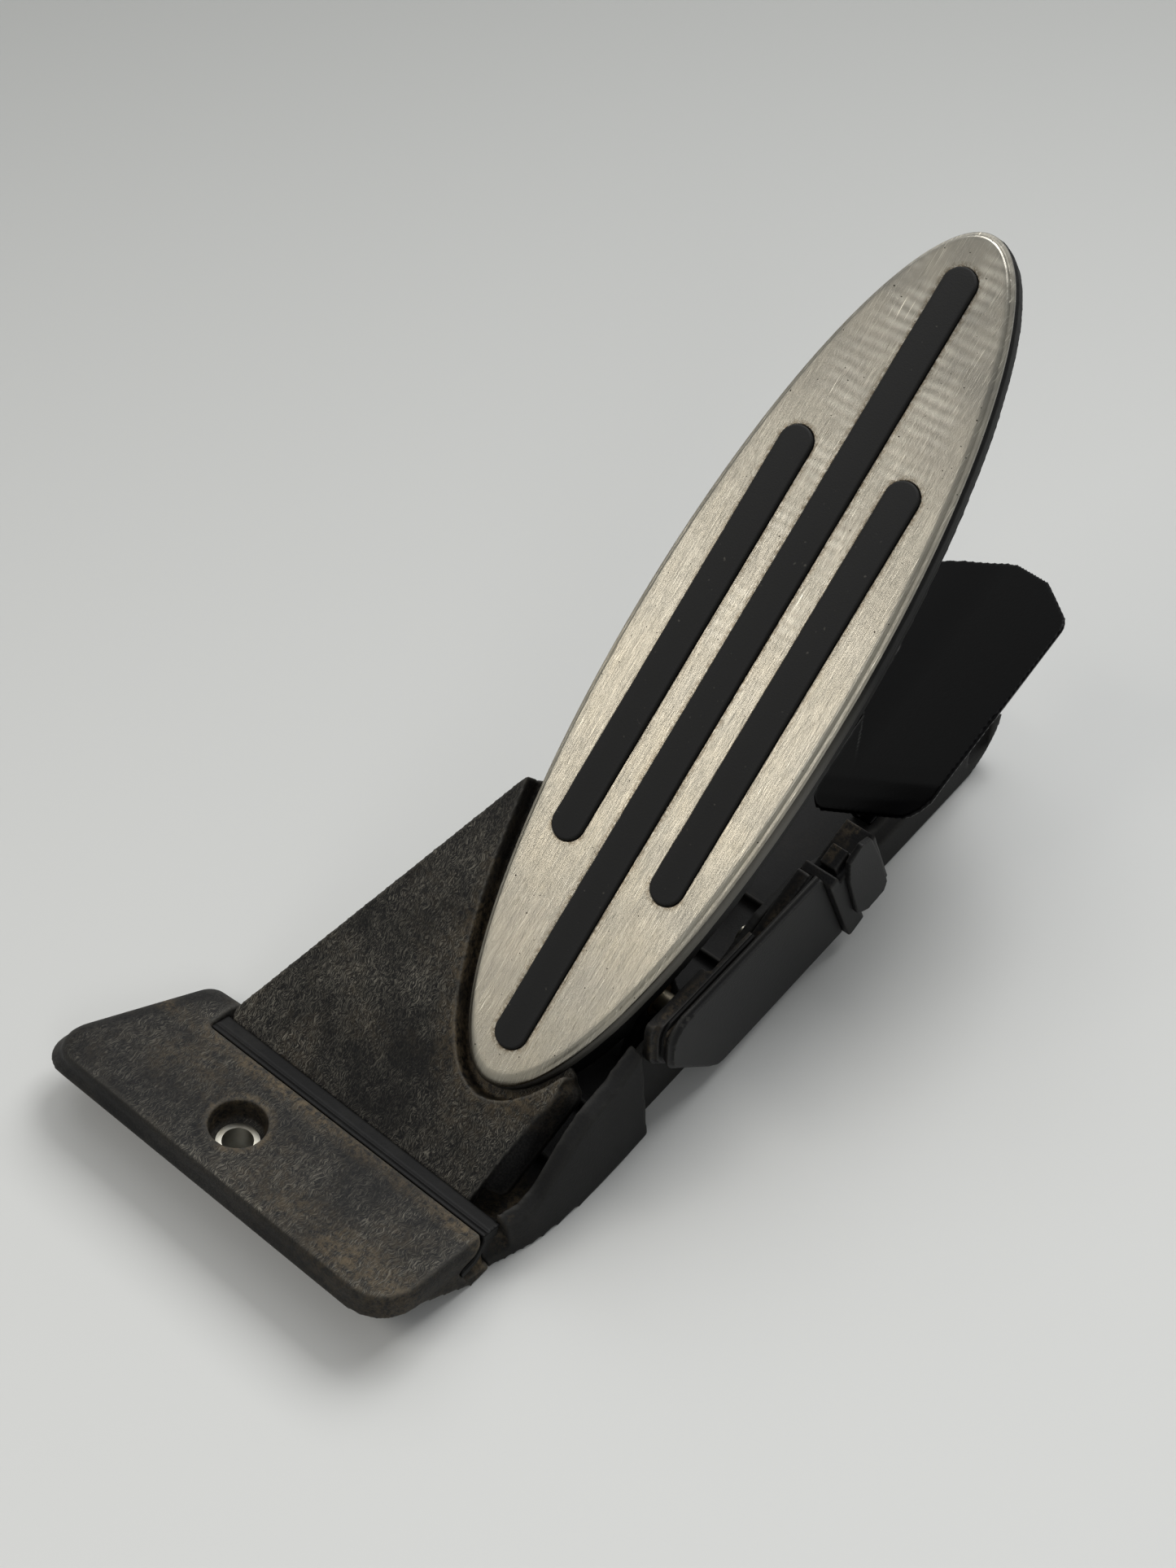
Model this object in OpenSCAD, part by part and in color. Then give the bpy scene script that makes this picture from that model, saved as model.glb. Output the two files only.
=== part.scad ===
// Floor-hinged accelerator pedal: an oval metal-faced pad on a moulded treadle, hinged to a
// foot plate, over a low frame that carries the lever, its springs and the position sensor.
// Y runs forward to the bulkhead, X to the driver's right, Z up. The hinge line is at Y = 0
// and the frame's rest face at Z = 0.

/* [Pad] */
// Length of the oval pad
pad_length = 235; // [226:1:244]
// Width of the oval pad
pad_width = 61.2; // [58:0.2:63]
// Slope of the pad at rest, in degrees
pad_angle = 37.1; // [35:0.1:39]
// Distance from the hinge line to the middle of the pad
pad_reach = 143.4; // [141:0.2:147]
// Height of the metal cover above the treadle's top face
pad_rise = 0.6; // [0:0.1:1.2]
// Thickness of the metal cover
cover_t = 0.8; // [0.6:0.1:1.2]
// Depth of the cover's rolled edge
cover_roll = 3.2; // [2.6:0.1:3.8]
// Depth of the carrier at the upper end of the pad
carrier_tip_depth = 8; // [7:0.5:9]
// Depth of the carrier at the lower end of the pad
carrier_toe_depth = 14; // [12:0.5:15]
// Depth of the carrier's flank on the right, over the frame's side wall
flank_depth = 15.5; // [13:0.5:15.5]
// Wall of the hollow carrier
carrier_wall = 2.2; // [1.6:0.1:3]

/* [Rubber strips] */
// Width of each rubber strip
strip_w = 8.6; // [7:0.2:10]
// Length of the middle strip
strip_long = 215; // [200:1:218]
// Length of the two outer strips
strip_short = 115; // [100:1:125]
// Distance between neighbouring strips
strip_pitch = 15.3; // [13:0.1:17]
// Height of the strips above the metal
strip_stand = 1.2; // [0.6:0.1:1.6]
// Thickness of the rubber sheet under the metal
sheet_t = 1.5; // [1.2:0.1:2]

/* [Treadle] */
// Reach of the treadle to the left of the pad's middle
treadle_left = 70.5; // [66:0.5:71]
// Reach of the treadle to the right of the pad's middle
treadle_right = 18; // [16:0.5:19]
// Distance from the hinge to the treadle's upper left corner
treadle_corner = 94; // [90:1:98]
// Thickness of the treadle's plate
treadle_t = 3; // [2.4:0.1:3.6]
// Depth of the treadle's skirts and ribs below the plate
skirt_depth = 6; // [5:0.5:7]
// Width of the bevelled side of the treadle, on the right
bevel_w = 5.2; // [4:0.2:6]
// Width of the groove round the pad's lower end
moat_w = 3.6; // [3:0.2:4.4]
// Depth of the groove round the pad's lower end
moat_depth = 6.5; // [5:0.5:7]
// Radius of the treadle's rolled edge on the hinge line
hinge_r = 2.2; // [2:0.1:2.4]

/* [Foot plate] */
// Slope of the foot plate, in degrees
foot_tilt = 11; // [9:0.5:13]
// Wall of the hollow foot plate
foot_wall = 2.6; // [2:0.1:3]
// Radius of the screw hole's steel sleeve, inside
sleeve_bore_r = 4; // [3.2:0.1:4.4]
// Radius of the steel sleeve, outside
sleeve_r = 5.5; // [5:0.1:6]
// Length of the steel sleeve
sleeve_l = 8; // [6:0.5:9]
// Radius of the counterbore over the sleeve
counterbore_r = 7.35; // [6.8:0.05:8]
// Depth of the counterbore
counterbore_depth = 7; // [5:0.5:8]

/* [Frame] */
// Length of the frame behind the hinge line
frame_length = 209; // [204:1:214]
// Distance from the pad's middle to the outside of each side wall
frame_half = 26; // [25.6:0.1:26.4]
// Thickness of the frame's walls
wall_t = 2.5; // [2:0.1:3]
// Thickness of the frame's floor
floor_t = 2.5; // [2:0.1:3]
// Height of the frame's rear rails
rail_h = 19; // [17:0.5:21]
// Height of the wing beside the treadle
wing_h = 37; // [34:0.5:39]
// Wall of the hollow wing
wing_t = 1.5; // [1.2:0.1:1.8]

/* [Lever] */
// Distance from the hinge line to the lever's shaft
shaft_y = 69; // [68:0.5:70]
// Height of the lever's shaft
shaft_z = 20; // [19:0.5:20]
// Radius of the lever's shaft
shaft_r = 3; // [2.6:0.1:3.2]
// Length of the lever between its two pivots
lever_l = 85; // [83:0.5:87]
// Length of the link between its two pivots
link_l = 20; // [19:0.5:21]
// Distance along the treadle from the hinge to the link's upper pivot
link_u = 150; // [149:0.5:151]
// Depth of the link's upper pivot below the hinge plane
link_n = 16; // [15.5:0.5:17]
// Width of the link
link_w = 6; // [5:0.5:7]
// Radius of the link's two pins
pin_r = 2.5; // [2:0.1:2.8]
// Diameter of the return springs' wire
wire_d = 1.5; // [1.2:0.1:1.6]
// Turns of each return spring
spring_turns = 3; // [2:0.5:3.5]

/* [Sensor] */
// Reach of the sensor in front of the shaft
sensor_nose = 19.2; // [18.6:0.1:19.6]
// Height of the sensor's lower edge
sensor_low = 4.8; // [4:0.2:6]
// Height of the sensor's upper edge
sensor_high = 45; // [44:0.5:46]
// Thickness of the sensor outside the frame's wall
sensor_t = 7.8; // [7.4:0.1:9]
// Distance from the hinge line to the connector's collar
plug_y = 119.5; // [118:0.5:121]
// Height of the middle of the connector
plug_z = 24; // [23.5:0.5:25]
// Upward tilt of the connector, in degrees
plug_tilt = 21; // [18:0.5:24]
// Length of the connector's shroud behind its collar
shroud_l = 15.4; // [13:0.2:17]
// Wall of the connector's shroud
shroud_wall = 1.6; // [1.2:0.1:2]

/* [Guard] */
// Thickness of the side guard
guard_t = 1.5; // [1.2:0.1:2]
// Distance of the guard's outer edge from the pad's middle
guard_right = 46.5; // [44:0.5:48]
// Distance from the hinge line to the guard's rear edge
guard_rear = 213; // [210:0.5:215]

/* [Clearances] */
// Gap between pieces that move past each other
run_gap = 0.4; // [0.3:0.05:0.5]
// Radial gap between a shaft and its bush
shaft_gap = 0.05; // [0.03:0.01:0.08]
// Radial gap of the link's upper pivot, which takes up the linkage's error
free_gap = 1; // [0.9:0.05:1.1]
// Gap between pieces of one body that are fitted together
seat_gap = 0.2; // [0.1:0.05:0.3]

/* [Hidden] */
$fn = 48;
pad_fn = 72;
pad_a = pad_length / 2;
pad_b = pad_width / 2;
axis_z = 9.7;
pad_top = hinge_r + pad_rise;
carrier_inset = -0.5;
cover_line = 0.6;
travel = 14;
press_angle = pad_angle - travel;
sheet_inset = 6;
slot_gap = 0.15;
rib_t = 1.4;
rib_pitch = 20;
plate_z = hinge_r - treadle_t;
moat_floor = 1.8;
moat_z = hinge_r - moat_depth - moat_floor;
treadle_neck = 32;
treadle_toe = 38.4;
treadle_round = 2.5;
bevel_drop = 6;
bevel_round = 4;

// Where the pressed pad's flank sweeps: its lower edge over a point, and how far back a piece at
// x stays clear of the pad's outline
function under_pad(y) = axis_z + y * tan(press_angle) - (flank_depth - pad_top) / cos(press_angle)
    - run_gap - 0.2;
function free_y(x) = (pad_reach - (pad_a - carrier_inset) * sqrt(1 - pow(x / (pad_b - carrier_inset), 2)))
    * cos(press_angle) - pad_top * sin(press_angle) - 1.5;

// Foot plate: corner centres, drop below the top plane and radius, at the top, the roll and the rim
slot_y = -7.6;
slot_z = 15;
foot_slope = tan(foot_tilt);
function foot_z(y) = slot_z + (slot_y - y) * foot_slope;
foot_top = [[-79.5, -30, 0, 8], [10.5, -27.2, 0, 10.5], [16.7, 4, 0, 6], [-70.2, -4.5, 0, 3]];
foot_roll = [[-86.5, -31.5, 4, 8], [10, -28, 5, 12], [18.3, 4, 5, 6], [-77, -1.5, 4.5, 5.5]];
foot_rim = [[-90, -33, 9, 8], [9.4, -28.5, 9, 12.3], [21, 4, 25, 6], [-79.5, -0.5, 9, 5.8]];
foot_arcs = [[160, 270], [270, 360], [0, 90], [90, 160]];
hinge_left = 69.5;
hinge_right = 23.2;
slot_mouth = [[-15, 3.4], [-14.6, 8.8], [-8.8, 9.6], [slot_y, 18], [0, 18], [0, 2.6]];
sleeve_x = -42;
sleeve_y = -24;
boss_r = sleeve_r + 3;
slot_block = 11.5;
bar_profile = [
    [-1.5, 12.5], [slot_y + seat_gap, 14.7], [slot_y + seat_gap, 12], [-11.4, 8.2], [-15.6, 8.2],
    [-15.6, 6], [-10.4, 6], [-5.6, 10.4], [-4.2, 9.4], [-2.2, 9.4]
];

// Frame
frame_in = frame_half - wall_t;
recess_y = 46;
rail_y = 145;
rail_out = frame_half + 2.5;
rail_slot = 1.9;
rail_in = frame_half - 8;
rail_step = 3.5;
tail_r = 17;
front_wall_x = [seat_gap - hinge_left, hinge_right - 0.7];

// Wing: [y, outer face at the floor beyond the frame's half width, height of the outer face]
wing_lean = 0.068;
wing_ridge = 4;
wing_rise = 2;
wing_foot = 7;
wing_line = [
    [slot_y + 0.1, -1.9, 2.6], [-1.25, 0.3, 2.6], [-1.2, 0.3, 12.4], [4, 2.3, 13.4], [8.5, 3.1, 15.4],
    [13, 3.8, 20.4], [19, 4.4, 25.8], [27, 4.9, wing_h - 6.4], [36, 5, wing_h - 5],
    [recess_y, 4.7, wing_h - 2]
];
hole_x = 13;
hole_y = frame_length - 12;
hole_r = 3.3;
hole_sleeve_r = 5;
hole_boss_r = 7.5;
hole_boss_h = 8;

// Lever and link, worked out from the pivots at rest
lever_x = -3;
hub_r = 5;
hub_half = 6.5;
eye_r = 5;
cheek_t = (2 * hub_half - link_w - 2 * run_gap) / 2;
ear_t = 3.6;
ear_x = link_w / 2 + run_gap;
joint_y = link_u * cos(pad_angle) + link_n * sin(pad_angle);
joint_z = axis_z + link_u * sin(pad_angle) - link_n * cos(pad_angle);
span = norm([joint_y - shaft_y, joint_z - shaft_z]);
span_angle = atan2(joint_z - shaft_z, joint_y - shaft_y);
lever_open = acos((lever_l * lever_l + span * span - link_l * link_l) / (2 * lever_l * span));
lever_angle = span_angle - lever_open;
elbow_y = shaft_y + lever_l * cos(lever_angle);
elbow_z = shaft_z + lever_l * sin(lever_angle);
link_angle = atan2(joint_z - elbow_z, joint_y - elbow_y);
coil_r = hub_r + run_gap + wire_d / 2;
coil_pitch = wire_d + 0.25;
coil_l = spring_turns * coil_pitch + wire_d;
spring_in = hub_half + run_gap;
lug_t = 4;
lug_left = lever_x - spring_in - coil_l - 2 * run_gap - lug_t;
lug_right = lever_x + spring_in + coil_l + 2 * run_gap;
lug_r = 7;
bush_r = 4.6;
bush_flange_r = 5.6;
bush_flange_t = 0.6;
lever_press = 24.9;
buffer_r = 5;
buffer_h = 7;
buffer_reach = 52;
heel_l = 11;
heel_angle = 232;
heel_r = 2.6;
heel_y = shaft_y + heel_l * cos(heel_angle);
rest_z = shaft_z + heel_l * sin(heel_angle) - heel_r - 0.2;
pressed_angle = lever_angle - lever_press;
stop_z = shaft_z + buffer_reach * tan(pressed_angle) - hub_r / cos(pressed_angle) - 0.6;

// Screws
screw_r = 1.5;
screw_head_r = 2.8;
screw_head_t = 1.8;
screw_at = [[94, 11], [94, 27], [108, 19]];
guard_screw_r = 1.2;
guard_head_r = 2;
guard_screw_x = (rail_in + guard_t + rail_out - wall_t - rail_slot) / 2;
guard_screw_y = [rail_y + 15, frame_length - 13];

// Sensor, in layers from the frame's wall outwards
layer_1 = frame_half + seat_gap;
layer_2 = layer_1 + 2.4;
layer_3 = layer_2 + 1.4;
layer_4 = layer_3 + 0.6;
sensor_face = layer_1 + sensor_t;
sensor_chin = [20, 24];
sensor_round = 7;
lid_floor = 1.4;
lid_round = 1;
lid_step = 4;
lid_ledge = layer_4 + 1.4;
collar_t = 3.2;
collar_half = 19;
collar_out = sensor_face + 2.2;
shroud_half = 15;
shroud_in = layer_1 + 1;
socket_floor = 2.4;
pin_count = 6;
pin_pitch = 4;
contact_w = 0.8;
rotor_r = 9;
rotor_t = 1.8;
latch_t = 1.6;

// Guard: a plane that rises outwards and to the rear, with its front edge turned down
guard_z0 = 46;
guard_x0 = frame_half;
guard_front = 133;
guard_rise_x = 0.667;
guard_rise_y = 0.32;
guard_bend = 10;
guard_drop = 2.4;
guard_web_x = rail_in;
guard_foot = 6;
guard_tail_x = -2;
guard_round = 6;
guard_step = 6;
function guard_z(x, y) = guard_z0 + guard_rise_x * (x - guard_x0) + guard_rise_y * (y - guard_front)
    - guard_drop * pow(max(0, guard_front + guard_bend - y) / guard_bend, 2);

// Solid through a stack of closed rings, from the lowest ring to the highest. The lowest ring
// is closed by one flat face, or by triangles round its middle if it isn't flat.
module skin(rings, flat = true) {
    n = len(rings[0]);
    k = len(rings);
    middle = [for (c = [0 : 2]) [for (p = rings[0]) p[c]] * [for (p = rings[0]) 1 / n]];
    points = concat([for (r = rings) each r], flat ? [] : [middle]);
    low = flat ? [[for (i = [0 : n - 1]) i]] : [for (i = [0 : n - 1]) [i, (i + 1) % n, k * n]];
    high = [[for (i = [n - 1 : -1 : 0]) (k - 1) * n + i]];
    sides = [for (j = [0 : k - 2], i = [0 : n - 1])
        let (a = j * n + i, b = j * n + (i + 1) % n)
        each [[a, a + n, b + n], [a, b + n, b]]];
    polyhedron(points, concat(low, sides, high));
}

// Profile in the Y-Z plane, extruded along X
module along_x(x0, x1) {
    translate([x0, 0, 0])
        rotate([90, 0, 90])
            linear_extrude(x1 - x0)
                children();
}

// Profile in the X-Z plane, extruded along Y
module along_y(y0, y1) {
    translate([0, y1, 0])
        rotate([90, 0, 0])
            linear_extrude(y1 - y0)
                children();
}

// The treadle's own frame: Y along the plate from the hinge axis, Z square to it
module on_treadle() {
    translate([0, 0, axis_z])
        rotate([pad_angle, 0, 0])
            children();
}

// The pad's own frame, with its origin in the middle of the cover's top face
module on_pad() {
    on_treadle()
        translate([0, pad_reach, pad_top])
            children();
}

// The connector's own frame: Y along the plug's way out, Z along its long side
module on_plug() {
    translate([0, plug_y, plug_z])
        rotate([plug_tilt, 0, 0])
            children();
}

// Square to the foot plate's top face, at the screw hole
module on_floor_screw() {
    translate([sleeve_x, sleeve_y, foot_z(sleeve_y)])
        rotate([-foot_tilt, 0, 0])
            children();
}

// Flat bar with round ends between two points of a plane
module strut(p, q, r_p, r_q) {
    a = atan2(q[1] - p[1], q[0] - p[0]);
    side = [-sin(a), cos(a)];
    translate(p)
        circle(r_p);
    translate(q)
        circle(r_q);
    polygon([p + side * r_p, p - side * r_p, q - side * r_q, q + side * r_q]);
}

// Pad outline, drawn in from the edge by an inset
function pad_ring(inset, z_mid, z_slope = 0) = [for (i = [0 : pad_fn - 1])
    let (t = 360 * i / pad_fn, y = (pad_a - inset) * sin(t))
    [(pad_b - inset) * cos(t), y, z_mid + z_slope * y]];

module pad_outline(inset) {
    polygon([for (p = pad_ring(inset, 0)) [p[0], p[1]]]);
}

module stadium(w, l) {
    square([w, l - w], center = true);
    for (s = [-1, 1])
        translate([0, s * (l - w) / 2])
            circle(w / 2);
}

// The three strips, grown sideways by a margin
module strips(grow) {
    stadium(strip_w + 2 * grow, strip_long + 2 * grow);
    for (s = [-1, 1])
        translate([s * strip_pitch, 0])
            stadium(strip_w + 2 * grow, strip_short + 2 * grow);
}

module pad_cover() {
    color("gainsboro")
        on_pad()
            difference() {
                skin([
                    pad_ring(0.35, -cover_roll), pad_ring(0, -cover_roll + 1), pad_ring(0.15, -1.2),
                    pad_ring(0.75, -0.4), pad_ring(1.9, 0)
                ]);
                skin([
                    pad_ring(cover_t + 0.35, -cover_roll - 1), pad_ring(cover_t, -cover_roll + 1),
                    pad_ring(cover_t + 0.2, -0.6 - cover_t), pad_ring(cover_t + 1.9, -cover_t)
                ]);
                translate([0, 0, -2 * cover_t])
                    linear_extrude(4 * cover_t)
                        strips(slot_gap);
            }
}

module rubber_insert() {
    color("#1c1c1d")
        on_pad() {
            translate([0, 0, -cover_t - sheet_t])
                linear_extrude(sheet_t)
                    pad_outline(sheet_inset);
            translate([0, 0, -cover_t])
                linear_extrude(cover_t + strip_stand - 0.5)
                    strips(0);
            translate([0, 0, strip_stand - 0.5])
                linear_extrude(0.5)
                    strips(-0.5);
        }
}

// Side view of the carrier above its lower edge: [y, depth] from the toe to the tip
module carrier_side(depths) {
    polygon(concat([[-pad_a - 2, 5]], [for (d = depths) [d[0], -d[1]]], [[pad_a + 2, 5]]));
}

module carrier_block(inset, top) {
    translate([0, 0, -2 * carrier_toe_depth])
        linear_extrude(2 * carrier_toe_depth + top)
            pad_outline(inset);
}

// The carrier's solid form: an even rim, and a deeper stepped flank on the right
module carrier_form() {
    top = -cover_roll - cover_line;
    toe = carrier_toe_depth;
    intersection() {
        carrier_block(carrier_inset, top);
        union() {
            along_x(-pad_b - 2, pad_b + 2)
                carrier_side([[-pad_a - 2, toe], [pad_a + 2, carrier_tip_depth]]);
            along_x(6, pad_b + 2)
                carrier_side([
                    [-pad_a - 2, toe + 6], [-90, toe + 6], [-86, flank_depth], [-42, flank_depth],
                    [-38, flank_depth - 1.2], [0, flank_depth - 1.2], [pad_a + 2, carrier_tip_depth + 3]
                ]);
        }
    }
}

module carrier_ribs() {
    intersection() {
        carrier_block(carrier_inset + 0.1, -cover_t);
        along_x(-pad_b, pad_b)
            carrier_side([[-pad_a, carrier_toe_depth - 1.5], [pad_a, carrier_tip_depth - 1.5]]);
        union() {
            for (y = [-5 * rib_pitch : rib_pitch : 5 * rib_pitch])
                translate([-pad_b, y - rib_t / 2, -carrier_toe_depth])
                    cube([pad_width, rib_t, carrier_toe_depth]);
            for (x = [-0.75, 0, 0.75])
                translate([x * rib_pitch - rib_t / 2, -pad_a, -carrier_toe_depth])
                    cube([rib_t, pad_length, carrier_toe_depth]);
        }
    }
}

// The pad's plastic carrier, with the two ears that hold the link's upper pin
module pad_carrier() {
    ceiling = cover_t + sheet_t + 1.6;
    ear_y = link_u - pad_reach;
    ear_z = -link_n - pad_top;
    color("#3a3a3c")
        on_pad()
            difference() {
                union() {
                    difference() {
                        union() {
                            carrier_form();
                            skin([
                                pad_ring(cover_t + 0.6, -cover_roll - cover_line - 0.5),
                                pad_ring(cover_t + 0.6, -cover_t - 1), pad_ring(cover_t + 2.4, -cover_t)
                            ]);
                        }
                        carrier_block(carrier_inset + carrier_wall, -ceiling);
                    }
                    difference() {
                        carrier_ribs();
                        translate([0, 0, -ceiling])
                            linear_extrude(ceiling)
                                pad_outline(-1);
                    }
                    for (x = [-ear_x - ear_t, ear_x])
                        along_x(lever_x + x, lever_x + x + ear_t)
                            strut([ear_y, ear_z], [ear_y, -ceiling - 2], eye_r, eye_r);
                }
                translate([0, 0, -cover_t - sheet_t])
                    linear_extrude(sheet_t + 1)
                        pad_outline(sheet_inset);
                translate([lever_x - 20, ear_y, ear_z])
                    rotate([0, 90, 0])
                        cylinder(r = pin_r, h = 40);
            }
}

module upper_pin() {
    color("silver")
        translate([lever_x - ear_x - ear_t - 0.8, joint_y, joint_z])
            rotate([0, 90, 0]) {
                cylinder(r = pin_r, h = 2 * (ear_x + ear_t) + 0.8);
                cylinder(r = pin_r + 1, h = 0.8);
            }
}

module treadle_outline() {
    offset(r = treadle_round)
        offset(delta = -treadle_round)
            polygon([
                [-treadle_left, 0], [-treadle_neck, treadle_corner], [-treadle_neck + 14, treadle_corner + 5],
                [0, treadle_toe + 20], [treadle_right - 8, treadle_toe + 4],
                [treadle_right, treadle_toe], [treadle_right - bevel_w, 0]
            ]);
}

// One rounded outline of the treadle's bevelled side at a height, spread outwards
function bevel_ring(spread, z, inset) = [for (i = [0 : 3], j = [0 : 5])
    let (
        r = bevel_round,
        corners = [
            [r, 3 + r], [treadle_right - bevel_w + spread - r, 3 + r],
            [treadle_right + 0.6 * spread - r, treadle_toe - 1 - r], [treadle_right - 9 + r, treadle_toe - 1 - r]
        ],
        t = 180 + 90 * i + 18 * j
    )
    [corners[i][0] + (r - inset) * cos(t), corners[i][1] + (r - inset) * sin(t), z]];

// The bevelled side as a solid, drawn in by a wall and lengthened downwards
module bevel_block(inset, longer) {
    skin([
        bevel_ring(bevel_w, plate_z - skirt_depth - longer, inset),
        bevel_ring(bevel_w, hinge_r - bevel_drop, inset), bevel_ring(0, hinge_r - inset, inset)
    ]);
}

module on_plate(outset) {
    translate([0, pad_reach])
        pad_outline(-outset);
}

// The treadle's plate with its rolled hinge edge, skirts, ribs and the trough round the pad
module treadle() {
    color("#2e2e2f")
        on_treadle() {
            difference() {
                union() {
                    translate([0, 0, plate_z])
                        linear_extrude(treadle_t)
                            treadle_outline();
                    translate([0, 0, plate_z - skirt_depth])
                        linear_extrude(skirt_depth)
                            difference() {
                                treadle_outline();
                                offset(delta = -carrier_wall)
                                    treadle_outline();
                            }
                    intersection() {
                        translate([0, 0, plate_z - skirt_depth + 1])
                            linear_extrude(skirt_depth)
                                treadle_outline();
                        union() {
                            for (x = [-3 : 0])
                                translate([x * rib_pitch - rib_t / 2, 0, -pad_a])
                                    cube([rib_t, treadle_corner, pad_length]);
                            for (y = [1 : 4])
                                translate([-treadle_left, y * rib_pitch, -pad_a])
                                    cube([treadle_left + treadle_right, rib_t, pad_length]);
                        }
                    }
                }
                translate([0, 0, -pad_a])
                    linear_extrude(pad_length)
                        on_plate(moat_w);
                translate([-2 * treadle_left, -2 * rib_pitch, -2 * rib_pitch])
                    cube([4 * treadle_left, 2 * rib_pitch + 4, 2 * rib_pitch + plate_z]);
            }
            translate([0, 0, moat_z])
                linear_extrude(moat_depth + moat_floor - treadle_t)
                    intersection() {
                        treadle_outline();
                        difference() {
                            on_plate(moat_w + moat_floor);
                            on_plate(moat_w);
                        }
                    }
            translate([0, 0, moat_z])
                linear_extrude(moat_floor)
                    intersection() {
                        treadle_outline();
                        difference() {
                            on_plate(moat_w + moat_floor);
                            on_plate(-carrier_inset);
                        }
                    }
            // bevelled side, hollow from below
            difference() {
                bevel_block(0, 0);
                bevel_block(1.6, 5);
                translate([0, 0, -pad_a])
                    linear_extrude(pad_length)
                        on_plate(moat_w);
                translate([-50, -2, -20])
                    cube([100, 6, 20 + plate_z]);
            }
            translate([-treadle_left + 2, 0, 0])
                rotate([0, 90, 0])
                    cylinder(r = hinge_r, h = treadle_left + treadle_right - bevel_w - 2);
        }
}

// Rounded outline through four corners between two corner lists, dropped below the top plane
function foot_ring(from, to, part, fall, grow) = [for (i = [0 : 3], j = [0 : 5])
    let (
        c = from[i] + (to[i] - from[i]) * part,
        t = foot_arcs[i][0] + (foot_arcs[i][1] - foot_arcs[i][0]) * j / 5,
        x = c[0] + (c[3] + grow) * cos(t),
        y = c[1] + (c[3] + grow) * sin(t)
    )
    [x, y, foot_z(y) - from[i][2] - (to[i][2] - from[i][2]) * fall]];

module foot_shell() {
    rolls = [90, 67.5, 45, 22.5, 0];
    skin(concat(
        [foot_ring(foot_roll, foot_rim, 1, 1, 0)],
        [for (a = rolls) foot_ring(foot_top, foot_roll, sin(a), 1 - cos(a), 0)]
    ), false);
}

module foot_hollow() {
    drop = [for (p = foot_rim) [p[0], p[1], p[2] + 30, p[3]]];
    translate([0, 0, -foot_wall])
        skin([
            foot_ring(foot_rim, drop, 0, 1, -foot_wall), foot_ring(foot_roll, foot_rim, 1, 1, -foot_wall),
            foot_ring(foot_top, foot_roll, 1, 1, -foot_wall), foot_ring(foot_top, foot_roll, 0, 0, -foot_wall)
        ], false);
}

module foot_ribs() {
    intersection() {
        foot_shell();
        union() {
            for (x = [-3 : 1])
                translate([sleeve_x / 2 + (x + 0.5) * rib_pitch, -50, 1])
                    cube([rib_t, 50, 30]);
            translate([-100, sleeve_y - rib_t / 2, 1])
                cube([130, rib_t, 30]);
        }
    }
}

// The hollow foot plate, with the screw hole and the slot that takes the hinge bar's blade
module foot_plate() {
    color("#353534")
        difference() {
            union() {
                difference() {
                    foot_shell();
                    foot_hollow();
                }
                foot_ribs();
                intersection() {
                    foot_shell();
                    union() {
                        translate([-100, slot_y - slot_block, 0])
                            cube([200, slot_block, 40]);
                        translate([-hinge_left - 3, slot_y - 1, 0])
                            cube([5, 20, 40]);
                    }
                }
                on_floor_screw()
                    translate([0, 0, -counterbore_depth - sleeve_l])
                        cylinder(r = boss_r, h = counterbore_depth + sleeve_l - 0.5);
            }
            translate([-hinge_left - seat_gap, slot_y, -40])
                cube([200, 30, 100]);
            translate([-120, -60, -40])
                cube([200, 80, 40]);
            on_floor_screw() {
                translate([0, 0, -counterbore_depth])
                    cylinder(r = counterbore_r, h = counterbore_depth + 5);
                translate([0, 0, -2 * counterbore_depth - sleeve_l])
                    cylinder(r = sleeve_r, h = 3 * counterbore_depth + sleeve_l);
            }
            along_x(-hinge_left - seat_gap, 60)
                offset(delta = seat_gap)
                    polygon(bar_profile);
            along_x(hinge_right - 1, 60)
                polygon(slot_mouth);
        }
}

module floor_sleeve() {
    color("lightsteelblue")
        on_floor_screw()
            translate([0, 0, -counterbore_depth - sleeve_l])
                difference() {
                    cylinder(r = sleeve_r, h = sleeve_l);
                    translate([0, 0, -1])
                        cylinder(r = sleeve_bore_r, h = sleeve_l + 2);
                }
}

// The hinge strip, whose blade hooks into the foot plate's slot
module hinge_bar() {
    color("#232324")
        difference() {
            along_x(-hinge_left, hinge_right)
                polygon(bar_profile);
            translate([-100, 0, axis_z])
                rotate([0, 90, 0])
                    cylinder(r = hinge_r + run_gap, h = 200);
        }
}

// Side view of a side wall, with the tail rounded off below the rear end
module wall_profile(crest, start = slot_y) {
    rear = frame_length;
    difference() {
        polygon(concat([[start, 0], [rear, 0], [rear, rail_h - 2], [rear - 2, rail_h], [rail_y + 5, rail_h]],
            crest, [[start, crest[len(crest) - 1][1]]]));
        difference() {
            translate([rear - tail_r, 0])
                square(tail_r);
            translate([rear - tail_r, tail_r])
                circle(tail_r);
        }
    }
}

// Upright with a round top that carries the lever's shaft
module shaft_lug(x0) {
    along_x(x0, x0 + lug_t) {
        translate([shaft_y, shaft_z])
            circle(lug_r);
        polygon([[shaft_y - lug_r, shaft_z], [shaft_y - lug_r - 5, floor_t],
            [shaft_y + lug_r + 5, floor_t], [shaft_y + lug_r, shaft_z]]);
    }
}

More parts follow.
